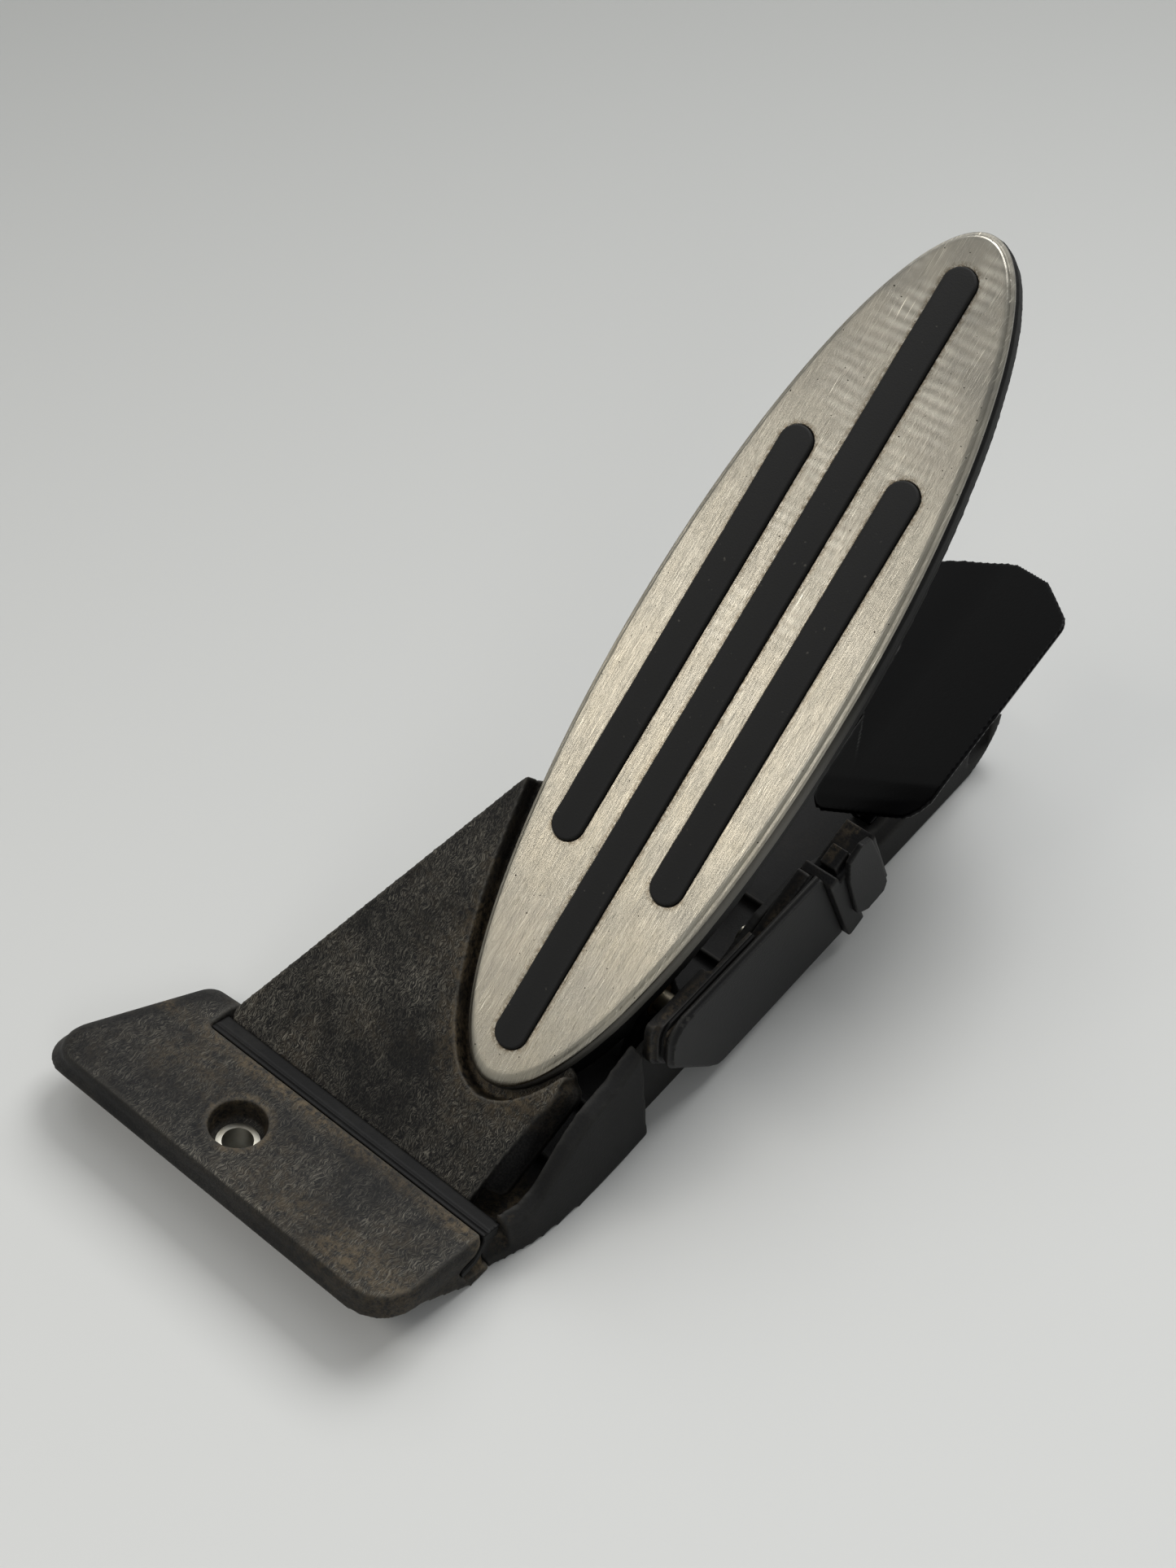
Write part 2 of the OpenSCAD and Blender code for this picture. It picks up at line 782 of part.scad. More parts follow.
// The rear rail: an outer wall, a narrow slot and a raised inner ledge on webs
module rail() {
    slot_x = rail_out - wall_t - rail_slot;
    intersection() {
        along_x(rail_in, rail_out)
            wall_profile([[rail_y, rail_h], [rail_y - 2, 0]]);
        difference() {
            union() {
                along_y(rail_y, frame_length) {
                    translate([rail_out - wall_t, 0])
                        square([wall_t, rail_h - rail_step]);
                    translate([rail_in, 0])
                        square([wall_t, rail_h]);
                    translate([rail_in, rail_h - wall_t])
                        square([slot_x - rail_in, wall_t]);
                    translate([rail_in, 0])
                        square([rail_out - rail_in, floor_t]);
                }
                for (y = [rail_y, rail_y + 22, rail_y + 44, frame_length - wall_t])
                    along_y(y, y + wall_t)
                        translate([rail_in, 0])
                            square([rail_out - rail_in - 0.2, rail_h - rail_step - 3]);
            }
            translate([rail_out - wall_t - 1, frame_length - 16, 7])
                cube([10, 11, rail_h]);
        }
    }
}

// One section of the wing across the frame, drawn in by a wall
function wing_ring(p, inset) = let (
    foot = frame_half + p[1],
    shoulder = foot - wing_lean * p[2]
) [
    [foot - wing_foot + inset, p[0], inset > 0 ? -1 : 0],
    [shoulder - wing_ridge + inset, p[0], p[2] + wing_rise - 1.5 * inset],
    [shoulder - inset, p[0], p[2] - inset], [foot - inset, p[0], inset > 0 ? -1 : 0]
];

// The wing beside the treadle: a hollow side wall that leans inwards and rises to the rear
module wing() {
    last = len(wing_line) - 1;
    difference() {
        skin([for (p = wing_line) wing_ring(p, 0)]);
        skin([
            for (i = [4 : last - 1]) wing_ring(wing_line[i], wing_t),
            wing_ring(wing_line[last] - [wing_t, 0, 0], wing_t)
        ]);
    }
}

// The moulded frame under the pad
module base_frame() {
    color("#333334")
        difference() {
            union() {
                // floor
                linear_extrude(floor_t)
                    polygon([
                        [-frame_half, slot_y], [frame_half - 3, slot_y], [frame_half, 2],
                        [frame_half, frame_length - tail_r], [-frame_half, frame_length - tail_r]
                    ]);
                // left wall
                along_x(-frame_half, -frame_in)
                    wall_profile([
                        [rail_y - 5, 24], [100, 28], [shaft_y, 24], [recess_y, 18], [20, 8], [8, 5]
                    ]);
                // right wall, which backs the sensor
                along_x(frame_in, frame_half)
                    wall_profile([
                        [rail_y - 5, 24], [114, 36], [96, under_pad(96)], [free_y(frame_in), under_pad(free_y(frame_in))],
                        [free_y(frame_in), 31], [recess_y - 4, 30]
                    ], recess_y - 4);
                // front wall under the hinge bar
                along_x(front_wall_x[0], front_wall_x[1])
                    polygon([[slot_y, 0], [2, 0], [2, 4], [-1, 6.2], [-4.4, 8.8], [-5.7, 9.9],
                        [slot_y, 8]]);
                // tail wall
                translate([-frame_half, frame_length - wall_t, tail_r - 6])
                    cube([2 * frame_half - 6, wall_t, rail_h - tail_r + 6]);
                translate([-frame_half, frame_length - tail_r - 1, 0])
                    cube([2 * frame_half - 6, wall_t, 10]);
                // cross ribs on the floor
                for (y = [22, recess_y - 6, 96, 118, 166])
                    translate([-frame_in, y, 0])
                        cube([2 * frame_in, rib_t, floor_t + 3]);
                wing();
                rail();
                mirror([1, 0, 0])
                    rail();
                shaft_lug(lug_left);
                shaft_lug(lug_right);
                // post of the full-travel stop
                translate([lever_x, shaft_y + buffer_reach, 0])
                    cylinder(r = buffer_r + 1.5, h = stop_z - buffer_h + 3);
                // seat of the rest stop
                translate([lever_x - 5, heel_y - 5, 0])
                    cube([10, 10, rest_z - 3]);
                // bosses of the rear mounting holes
                for (x = [-hole_x, hole_x])
                    translate([x, hole_y, 0])
                        cylinder(r = hole_boss_r, h = hole_boss_h);
            }
            for (x = [-hole_x, hole_x])
                translate([x, hole_y, -1])
                    cylinder(r = hole_sleeve_r, h = hole_boss_h + 2);
            for (x = [lug_left, lug_right])
                translate([x - 1, shaft_y, shaft_z])
                    rotate([0, 90, 0])
                        cylinder(r = bush_r, h = lug_t + 2);
            translate([frame_in - 1, shaft_y, shaft_z])
                rotate([0, 90, 0])
                    cylinder(r = shaft_r + run_gap, h = wall_t + 2);
            translate([lever_x, shaft_y + buffer_reach, stop_z - buffer_h])
                cylinder(r = buffer_r, h = 20);
            for (p = screw_at)
                translate([frame_in - 1, p[0], p[1]])
                    rotate([0, 90, 0])
                        cylinder(r = screw_r, h = wall_t + 2);
            for (y = guard_screw_y)
                translate([guard_screw_x, y, rail_h - wall_t - 1])
                    cylinder(r = guard_screw_r, h = wall_t + 2);
        }
}

module rear_sleeves() {
    color("lightsteelblue")
        for (x = [-hole_x, hole_x])
            translate([x, hole_y, 0])
                difference() {
                    cylinder(r = hole_sleeve_r, h = hole_boss_h);
                    translate([0, 0, -1])
                        cylinder(r = hole_r, h = hole_boss_h + 2);
                }
}

module bush(x0) {
    translate([x0, shaft_y, shaft_z])
        rotate([0, 90, 0])
            difference() {
                union() {
                    cylinder(r = bush_r, h = lug_t);
                    translate([0, 0, lug_t])
                        cylinder(r = bush_flange_r, h = bush_flange_t);
                }
                translate([0, 0, -1])
                    cylinder(r = shaft_r + shaft_gap, h = lug_t + 3);
            }
}

module bush_left() {
    color("goldenrod")
        bush(lug_left);
}

module bush_right() {
    color("goldenrod")
        translate([2 * lug_right + lug_t, 0, 0])
            mirror([1, 0, 0])
                bush(lug_right);
}

module stop_buffer() {
    color("#1a1a1a")
        translate([lever_x, shaft_y + buffer_reach, stop_z - buffer_h]) {
            cylinder(r = buffer_r, h = buffer_h - 1.6);
            translate([0, 0, buffer_h - 1.6])
                cylinder(r = buffer_r - 1.2, h = 1.3);
        }
}

module rest_buffer() {
    color("#1a1a1a")
        translate([lever_x - 4, heel_y - 4, rest_z - 3])
            cube([8, 8, 3]);
}

// Square frame of a wire that runs round the X axis
function wire_ring(p, t, r) = let (
    side = [1, 0, 0] - t * t[0],
    b = side / norm(side),
    n = cross(t, b)
) [for (i = [0 : 7]) p + (b * cos(45 * i) + n * sin(45 * i)) * r];

// A leg spring: coils round the shaft, one leg to the floor and one along the lever
module leg_spring() {
    steps = 14;
    turn = 360 * spring_turns + lever_angle + 90 - 180;
    count = ceil(steps * turn / 360);
    start = 180;
    path = concat(
        [[0, coil_r * cos(start), coil_r * sin(start)] + [0, 0, -shaft_z + floor_t + wire_d / 2 + 0.3]],
        [for (i = [0 : count]) let (a = start + turn * i / count)
            [coil_pitch * turn / 360 * i / count, coil_r * cos(a), coil_r * sin(a)]],
        [[coil_pitch * turn / 360, coil_r * cos(start + turn), coil_r * sin(start + turn)]
            + 17 * [0, -sin(start + turn), cos(start + turn)]]
    );
    last = len(path) - 1;
    rings = [for (i = [0 : last])
        let (v = path[min(i + 1, last)] - path[max(i - 1, 0)])
        wire_ring(path[i], v / norm(v), wire_d / 2)];
    translate([0, shaft_y, shaft_z])
        skin(rings);
}

module spring_right() {
    color("slategray")
        translate([lever_x + spring_in + coil_l - wire_d / 2, 0, 0])
            mirror([1, 0, 0])
                leg_spring();
}

module spring_left() {
    color("slategray")
        translate([lever_x - spring_in - coil_l + wire_d / 2, 0, 0])
            leg_spring();
}

module lever_shaft() {
    color("silver")
        translate([lug_left - 1.6, shaft_y, shaft_z])
            rotate([0, 90, 0]) {
                cylinder(r = shaft_r, h = layer_3 - 0.6 - lug_left + 1.6);
                cylinder(r = shaft_r + 1.4, h = 1.2);
            }
}

// The lever: hub, tapered arm with side pockets, a fork for the link and a heel for the rest stop
module lever() {
    hub = [shaft_y, shaft_z];
    elbow = [elbow_y, elbow_z];
    along = [cos(lever_angle), sin(lever_angle)];
    peg = hub + along * 16 + [-along[1], along[0]] * (coil_r + wire_d / 2 + 1.3);
    color("#2b2b2d")
        difference() {
            union() {
                along_x(lever_x - hub_half, lever_x + hub_half) {
                    strut(hub, elbow, hub_r, eye_r - 0.4);
                    strut(hub, [heel_y, shaft_z + heel_l * sin(heel_angle)], hub_r, heel_r);
                }
                along_x(lever_x - spring_in - wire_d - 1.4, lever_x + spring_in + wire_d + 1.4)
                    translate(peg)
                        circle(1.2);
                along_x(lever_x - hub_half, lever_x + hub_half)
                    strut(peg, hub + along * 16, 1.2, 3);
            }
            translate([lever_x - 50, shaft_y, shaft_z])
                rotate([0, 90, 0])
                    cylinder(r = shaft_r, h = 100);
            translate([lever_x - 50, elbow_y, elbow_z])
                rotate([0, 90, 0])
                    cylinder(r = pin_r, h = 100);
            // fork slot, cut round so that the link's eye turns in it
            translate([lever_x - link_w / 2 - run_gap, elbow_y, elbow_z])
                rotate([0, 90, 0])
                    cylinder(r = eye_r + 5, h = link_w + 2 * run_gap);
            // pockets on both sides leave a web
            for (x = [-hub_half - 1, hub_half - 4])
                along_x(lever_x + x, lever_x + x + 5)
                    strut(hub + along * 24, hub + along * (lever_l - 18), 2.6, 2.4);
        }
}

module lower_pin() {
    color("silver")
        translate([lever_x - hub_half - 0.8, elbow_y, elbow_z])
            rotate([0, 90, 0]) {
                cylinder(r = pin_r, h = 2 * hub_half + 0.8);
                cylinder(r = pin_r + 1, h = 0.8);
            }
}

module link_rod() {
    color("#262628")
        difference() {
            along_x(lever_x - link_w / 2, lever_x + link_w / 2)
                strut([elbow_y, elbow_z], [joint_y, joint_z], eye_r - 0.2, eye_r + 0.4);
            translate([lever_x - 50, elbow_y, elbow_z])
                rotate([0, 90, 0])
                    cylinder(r = pin_r + shaft_gap, h = 100);
            translate([lever_x - 50, joint_y, joint_z])
                rotate([0, 90, 0])
                    cylinder(r = pin_r + free_gap, h = 100);
        }
}

// Side view of the sensor: a blunt rounded nose and a body that stops at the connector's collar
module sensor_outline(grow, drop = 0) {
    nose = shaft_y - sensor_nose;
    intersection() {
        offset(r = sensor_round)
            offset(delta = grow - sensor_round)
                polygon([
                    [nose, sensor_high], [nose, sensor_low + sensor_chin[1]],
                    [nose + sensor_chin[0], sensor_low], [plug_y + 20, sensor_low],
                    [plug_y + 20, sensor_high]
                ]);
        translate([0, -50])
            square([200, sensor_high + 50 - drop]);
        translate([plug_y, plug_z])
            rotate(plug_tilt)
                translate([-200 - collar_t / 2, -100])
                    square([200, 200]);
    }
}

// The same for a layer that the pressed pad passes: it stays under the pad where the pad's
// outline covers x
module sensor_layer(grow, x, drop = 0) {
    intersection() {
        sensor_outline(grow, 2 + drop);
        union() {
            polygon([
                [-20, -40], [-20, under_pad(-20) - drop], [200, under_pad(200) - drop], [200, -40]
            ]);
            square([free_y(x), 2 * sensor_high]);
        }
    }
}

// Back of the sensor: a flange on the frame's wall and a stepped body with the rotor's recess
module sensor_housing() {
    color("#2f2f31")
        difference() {
            union() {
                along_x(layer_1, layer_2)
                    sensor_layer(1.5, layer_1);
                along_x(layer_2, layer_3)
                    sensor_layer(0.5, layer_2);
            }
            translate([layer_1 + 1.2, shaft_y, shaft_z])
                rotate([0, 90, 0])
                    cylinder(r = rotor_r + 0.5, h = 10);
            translate([layer_1 - 1, shaft_y, shaft_z])
                rotate([0, 90, 0])
                    cylinder(r = shaft_r + shaft_gap, h = 10);
            for (p = screw_at)
                translate([layer_1 - 1, p[0], p[1]])
                    rotate([0, 90, 0])
                        cylinder(r = screw_r, h = 3.4);
        }
}

module lid_seal() {
    color("#141414")
        along_x(layer_3, layer_4)
            difference() {
                sensor_layer(-1, layer_2, 0.5);
                sensor_layer(-3, layer_2, 2.5);
            }
}

module sensor_lid() {
    color("#3b3b3d")
        difference() {
            union() {
                along_x(layer_4, lid_ledge)
                    sensor_outline(-0.6, lid_step);
                along_x(lid_ledge, sensor_face - lid_round)
                    sensor_outline(0);
                along_x(sensor_face - lid_round, sensor_face)
                    sensor_outline(-lid_round);
            }
            along_x(layer_4 - 1, sensor_face - lid_floor)
                sensor_layer(-3, layer_2, 3);
        }
}

module circuit_board() {
    color("darkgreen")
        along_x(sensor_face - lid_floor - 1.2, sensor_face - lid_floor)
            sensor_layer(-3.5, layer_2, 3.5);
}

module rotor() {
    color("dimgray")
        difference() {
            translate([layer_3 - 0.6 - rotor_t, shaft_y, shaft_z])
                rotate([0, 90, 0])
                    cylinder(r = rotor_r, h = rotor_t);
            translate([0, shaft_y, shaft_z])
                rotate([0, 90, 0])
                    cylinder(r = shaft_r, h = 60);
        }
}

module sensor_screws() {
    color("silver")
        for (p = screw_at)
            translate([frame_in - screw_head_t, p[0], p[1]])
                rotate([0, 90, 0]) {
                    cylinder(r = screw_head_r, h = screw_head_t);
                    cylinder(r = screw_r, h = screw_head_t + wall_t + 2);
                }
}

// The connector: a collar on the sensor's end and an open shroud that points up to the rear
module connector_shroud() {
    color("#2c2c2e")
        on_plug()
            difference() {
                union() {
                    translate([layer_1, -collar_t / 2, -collar_half])
                        cube([collar_out - layer_1, collar_t, 2 * collar_half]);
                    translate([shroud_in, 0, -shroud_half])
                        cube([collar_out - shroud_in, shroud_l + collar_t / 2, 2 * shroud_half]);
                    // latch hook on the upper side
                    translate([shroud_in + 2, 3, shroud_half - 1])
                        cube([5, 6, 4.5]);
                    // foot of the latch below the shroud
                    translate([collar_out - 3, -1, -shroud_half - 4.6])
                        cube([3, 6, 5.6]);
                }
                translate([shroud_in + shroud_wall, socket_floor, -shroud_half + shroud_wall])
                    cube([collar_out - shroud_in - 2 * shroud_wall, 40, 2 * (shroud_half - shroud_wall)]);
            }
}

module contact_pins() {
    color("goldenrod")
        on_plug()
            for (i = [0 : pin_count - 1])
                translate([(shroud_in + collar_out - contact_w) / 2, socket_floor,
                    (i - (pin_count - 1) / 2) * pin_pitch - contact_w / 2])
                    cube([contact_w, shroud_l - 7, contact_w]);
}

module latch_plate() {
    color("#343436")
        on_plug()
            along_x(collar_out, collar_out + latch_t)
                polygon([[2.4, -8], [6, -13], [13, -15], [15, -12], [15.4, 4], [14.4, 21], [11, 24],
                    [5.5, 23], [3.4, 14]]);
}

// The smooth side guard: a curved sheet on a web that stands on the rail's ledge
module side_guard() {
    xs = [for (x = [guard_tail_x - 4 : guard_step : guard_right + guard_step]) x];
    ys = [for (y = [guard_front - 2 : guard_step - 1 : guard_rear + guard_step]) y];
    nx = len(xs);
    ny = len(ys);
    upper = [for (y = ys, x = xs) [x, y, guard_z(x, y)]];
    lower = [for (p = upper) p - [0, 0, guard_t * 1.25]];
    m = nx * ny;
    cells = [for (j = [0 : ny - 2], i = [0 : nx - 2])
        let (a = j * nx + i, b = a + nx)
        each [[a, b, b + 1], [a, b + 1, a + 1], [m + a, m + b + 1, m + b], [m + a, m + a + 1, m + b + 1]]];
    ends = [for (i = [0 : nx - 2]) let (b = (ny - 1) * nx + i)
        each [[i, i + 1, m + i + 1], [i, m + i + 1, m + i], [b, m + b, m + b + 1], [b, m + b + 1, b + 1]]];
    flanks = [for (j = [0 : ny - 2]) let (a = j * nx, b = a + nx, c = a + nx - 1, d = c + nx)
        each [[a, m + a, m + b], [a, m + b, b], [c, d, m + d], [c, m + d, m + c]]];
    color("#1b1b1c") {
        intersection() {
            polyhedron(concat(upper, lower), concat(cells, ends, flanks));
            linear_extrude(200)
                offset(r = guard_round)
                    offset(delta = -guard_round)
                        polygon([[guard_web_x - 5, guard_front], [guard_right, guard_front],
                            [guard_right + 0.6, guard_rear - 20], [guard_right - 12, guard_rear - 7],
                            [guard_right - 26, guard_rear], [guard_tail_x, guard_rear],
                            [guard_tail_x + 10, guard_rear - 30]]);
        }
        // web that follows the sheet's underside, and its foot on the rail
        along_x(guard_web_x, guard_web_x + guard_t)
            polygon([[guard_front + 16, rail_h], [guard_rear - 8, rail_h],
                [guard_rear - 8, guard_z(guard_web_x, guard_rear - 8) - 1.2 * guard_t],
                [guard_front + 11, guard_z(guard_web_x, guard_front + 11) - 1.2 * guard_t],
                [guard_front + 11, rail_h + 10]]);
        difference() {
            translate([rail_in, guard_front + 16, rail_h])
                cube([guard_foot, guard_rear - guard_front - 24, guard_t]);
            for (y = guard_screw_y)
                translate([guard_screw_x, y, rail_h - 1])
                    cylinder(r = guard_screw_r, h = guard_t + 2);
        }
    }
}

module guard_screws() {
    color("silver")
        for (y = guard_screw_y)
            translate([guard_screw_x, y, rail_h - wall_t]) {
                cylinder(r = guard_screw_r, h = wall_t + guard_t);
                translate([0, 0, wall_t + guard_t])
                    cylinder(r = guard_head_r, h = screw_head_t);
            }
}

foot_plate();
base_frame();
floor_sleeve();
rear_sleeves();
hinge_bar();
side_guard();
guard_screws();
sensor_housing();
lid_seal();
sensor_lid();
circuit_board();
sensor_screws();
connector_shroud();
contact_pins();
latch_plate();
bush_left();
bush_right();
spring_left();
spring_right();
stop_buffer();
rest_buffer();
treadle();
pad_carrier();
rubber_insert();
pad_cover();
upper_pin();
lever();
lever_shaft();
rotor();
lower_pin();
link_rod();
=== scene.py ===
import bpy, bmesh, math
from mathutils import Matrix, Vector


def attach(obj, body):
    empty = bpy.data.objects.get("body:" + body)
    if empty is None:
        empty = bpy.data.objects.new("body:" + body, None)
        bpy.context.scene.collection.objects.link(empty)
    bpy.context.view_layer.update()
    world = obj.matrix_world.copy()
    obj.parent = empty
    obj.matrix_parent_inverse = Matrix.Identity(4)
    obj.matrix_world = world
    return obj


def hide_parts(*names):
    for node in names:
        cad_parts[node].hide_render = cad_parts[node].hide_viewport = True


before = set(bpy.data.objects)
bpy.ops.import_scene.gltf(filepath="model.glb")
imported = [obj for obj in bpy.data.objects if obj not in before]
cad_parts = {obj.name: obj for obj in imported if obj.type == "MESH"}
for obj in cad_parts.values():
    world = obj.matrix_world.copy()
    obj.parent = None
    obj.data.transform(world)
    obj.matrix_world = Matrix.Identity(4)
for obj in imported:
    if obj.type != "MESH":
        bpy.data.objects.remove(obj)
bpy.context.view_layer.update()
scene = bpy.context.scene


# Foot plate. It is a hollow injection moulding in glass-filled nylon that a screw holds to the
# car's floor. Shoes have drawn pale fibres out of its grain and left brown dirt in its corners.
def linear(code):
    """An sRGB hex colour as the linear values that Blender's sockets take."""
    parts = [int(code[i:i + 2], 16) / 255 for i in (1, 3, 5)]
    return [c / 12.92 if c < 0.04045 else ((c + 0.055) / 1.055) ** 2.4 for c in parts] + [1.0]


def add(tree, kind, inputs=None, **settings):
    """Adds one node with its settings and gives back its outputs. Each input is either a value
    or another node's output, which is linked to it."""
    node = tree.nodes.new("ShaderNode" + kind)
    for key, value in settings.items():
        setattr(node, key, value)
    for socket, source in (inputs or {}).items():
        if isinstance(source, bpy.types.NodeSocket):
            tree.links.new(source, node.inputs[socket])
        else:
            node.inputs[socket].default_value = source
    return node.outputs


# A Mix node's two colour inputs and its colour output, which share their names with others.
UNDER, OVER, MIXED = 6, 7, 2


def new_material(name):
    mat = bpy.data.materials.new(name)
    mat.use_nodes = True
    mat.node_tree.nodes.clear()
    return mat, mat.node_tree


def moulded(name, node, body, finish, voxel, rounds, turn=Matrix.Identity(4)):
    """A fine copy of a moulded CAD piece, with its edges and inner corners rounded as a mould's
    are. The turn lines the voxels up with the piece's own faces."""
    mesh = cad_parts[node].data.copy()
    mesh.materials.clear()
    mesh.transform(turn.inverted())
    blank = bpy.data.objects.new(name + "_blank", mesh)
    scene.collection.objects.link(blank)
    remesh = blank.modifiers.new("Remesh", "REMESH")
    remesh.mode, remesh.voxel_size, remesh.use_smooth_shade = "VOXEL", voxel, True
    smooth = blank.modifiers.new("Smooth", "SMOOTH")
    smooth.factor, smooth.iterations = 0.5, rounds
    fine = bpy.data.meshes.new_from_object(blank.evaluated_get(bpy.context.evaluated_depsgraph_get()))
    bpy.data.objects.remove(blank)
    fine.transform(turn)
    return settle(name, fine, body, finish, node)


def settle(name, mesh, body, finish, *nodes):
    """Puts a finished mesh in the scene on its body, with its material, in place of CAD nodes."""
    material, slot = finish
    mesh.name = name
    mesh.materials.clear()
    mesh.materials.append(material)
    mesh.shade_smooth()
    piece = bpy.data.objects.new(name, mesh)
    scene.collection.objects.link(piece)
    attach(piece, body)
    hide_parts(*nodes)
    return piece


# Glass-filled nylon, injection moulded: a charcoal grey with a spark-eroded grain of 0.5 mm.
# Shoes have felted it with curved pale scratches, 0.2 mm wide and 2.4 mm long, among them a few of
# 8 mm, in patches of 25 mm. They have pressed brown dirt into it, in crumbs of 2 mm. Grain and dirt
# take its gloss off, so the IOR comes down from nylon's 1.53.
def worn_nylon(name, dark, worn, fibres, dust, edges, rough):
    """Nylon between two greys. Fibres, dust and pale edges, worn and painted as a highlight, go from 0, none,
    to 1.
    """
    mat, tree = new_material(name)
    place = add(tree, "TexCoord")["Object"]
    grain = add(tree, "TexNoise", {"Vector": place, "Scale": 1900, "Detail": 2})["Fac"]
    patch = add(tree, "TexNoise", {"Vector": place, "Scale": 40, "Detail": 5, "Roughness": 0.7})["Fac"]
    curl = add(tree, "TexNoise", {"Vector": place, "Scale": 330, "Detail": 1})["Color"]
    bent = add(tree, "VectorMath", {0: curl, 1: (0.003, 0.003, 0.003), 2: place}, operation="MULTIPLY_ADD")[0]
    # Each set of lines as its turn, its scale, its detail and the range of noise that shows.
    felt = [(turn, (5600, 420, 1400), 1.5, 0.615, 0.70) for turn in (0.2, 0.75, 1.35, 1.9, 2.6)]
    long_hair = (1.1, (2600, 120, 500), 1, 0.66, 0.72)
    scratch = 0.0
    for turn, scale, detail, low, high in felt + [long_hair]:
        line = add(tree, "Mapping", {"Vector": bent, "Rotation": (0, 0, turn), "Scale": scale})[0]
        streak = add(tree, "TexNoise", {"Vector": line, "Scale": 1, "Detail": detail})["Fac"]
        thin = add(tree, "MapRange", {"Value": streak, "From Min": low, "From Max": high})[0]
        scratch = add(tree, "Math", {0: scratch, 1: thin}, operation="MAXIMUM")[0]
    rubbed = add(tree, "MapRange", {"Value": patch, "From Min": 0.38, "From Max": 0.60,
                                    "To Min": 0.15 * fibres, "To Max": fibres})[0]
    trodden = add(tree, "Attribute", attribute_name="tread", attribute_type="GEOMETRY")["Fac"]
    reached = add(tree, "Math", {0: rubbed, 1: trodden}, operation="MULTIPLY")[0]
    pale = add(tree, "Math", {0: scratch, 1: reached}, operation="MULTIPLY")[0]

    dirt_and_light_mark = add(tree, "Attribute", attribute_name="dirt", attribute_type="GEOMETRY")["Fac"]
    cloud = add(tree, "TexNoise", {"Vector": place, "Scale": 55, "Detail": 3})["Fac"]
    film = add(tree, "MapRange", {"Value": cloud, "From Min": 0.5, "From Max": 0.7, "To Max": dust})[0]
    caked = add(tree, "MapRange", {"Value": cloud, "From Min": 0.36, "From Max": 0.54, "To Min": 0.25})[0]
    held = add(tree, "Math", {0: dirt_and_light_mark, 1: caked}, operation="MULTIPLY")[0]
    most = add(tree, "Math", {0: held, 1: film}, operation="MAXIMUM")[0]
    crumbs = add(tree, "TexNoise", {"Vector": place, "Scale": 520, "Detail": 4, "Roughness": 0.8})["Fac"]
    broken = add(tree, "MapRange", {"Value": crumbs, "From Min": 0.4, "From Max": 0.62})[0]
    dirty = add(tree, "Math", {0: most, 1: broken}, operation="MULTIPLY")[0]
    # Pale convex edges: partly wear, partly a painted highlight where the edges catch the light.
    corner = add(tree, "NewGeometry")["Pointiness"]
    edge_wear_and_highlight = add(tree, "MapRange", {"Value": corner, "From Min": 0.505, "From Max": 0.56, "To Max": edges})[0]

    blend = add(tree, "Math", {0: patch, 1: grain}, operation="ADD")[0]
    tone = add(tree, "MapRange", {"Value": blend, "From Min": 0.85, "From Max": 1.2})[0]
    tint = add(tree, "Mix", {"Factor": tone, UNDER: linear(dark), OVER: linear(worn)},
               data_type="RGBA")[MIXED]
    for share, colour in ((pale, "#7f7b70"), (dirty, "#5e523f"), (edge_wear_and_highlight, "#6b6963")):
        tint = add(tree, "Mix", {"Factor": share, UNDER: tint, OVER: linear(colour)}, data_type="RGBA")[MIXED]
    raised = add(tree, "Math", {0: grain, 1: pale}, operation="ADD")[0]
    bump = add(tree, "Bump", {"Height": raised, "Strength": 0.4, "Distance": 0.0002})[0]
    shader = add(tree, "BsdfPrincipled", {"Base Color": tint, "Normal": bump, "Roughness": rough,
                                          "IOR": 1.27})[0]
    add(tree, "OutputMaterial", {"Surface": shader})
    return mat


def paint_dirt_and_light(piece, amount):
    """Stores a mark from 0 to 1 at each point, where amount(point in mm) says so: dirt on most pieces,
    painted light on the carrier's band.
    """
    layer = piece.data.attributes.new("dirt", "FLOAT", "POINT")
    layer.data.foreach_set("value", [amount(v.co * 1000) for v in piece.data.vertices])


def paint_tread(piece, up, least):
    """Stores where soles rub: fully on faces that look up, to within 13 degrees, and the least
    share on those that lean 32 degrees or more."""
    layer = piece.data.attributes.new("tread", "FLOAT", "POINT")
    layer.data.foreach_set("value", [max(least, min(1.0, 8 * v.normal.dot(up) - 6.8))
                                     for v in piece.data.vertices])


def near(value, middle, width):
    """1 at the middle, falling to 0 at that width from it."""
    return max(0.0, 1.0 - abs(value - middle) / width)


def foot_dirt(p):
    """Brown dirt where shoes press it in, at places in the part's own millimetres."""
    beside_strip = 0.9 * near(p.y, -9.0, 4.0)
    under_heel = 0.9 * near(p.y, -33, 9) * near(p.x, 6, 42)
    left_end = 0.5 * near(p.y, -20, 12) * near(p.x, -62, 18)
    round_hole = 0.9 * near(math.hypot(p.x + 42, p.y + 24), 7.5, 2.5)
    return beside_strip + under_heel + left_end + round_hole


walked_nylon = worn_nylon("worn glass-filled nylon", "#030304", "#1c1b1a",
                          fibres=0.78, dust=0.2, edges=0.3, rough=0.62)
FOOT_TILT = Matrix.Rotation(math.radians(-11), 4, "X")
foot_plate = moulded("foot_plate_moulding", "foot_plate", "base", (walked_nylon, "glass_filled_plastic"),
                     voxel=0.00065, rounds=4, turn=FOOT_TILT)
paint_tread(foot_plate, FOOT_TILT.to_3x3().inverted() @ Vector((0, 0, 1)), least=0.12)
paint_dirt_and_light(foot_plate, foot_dirt)


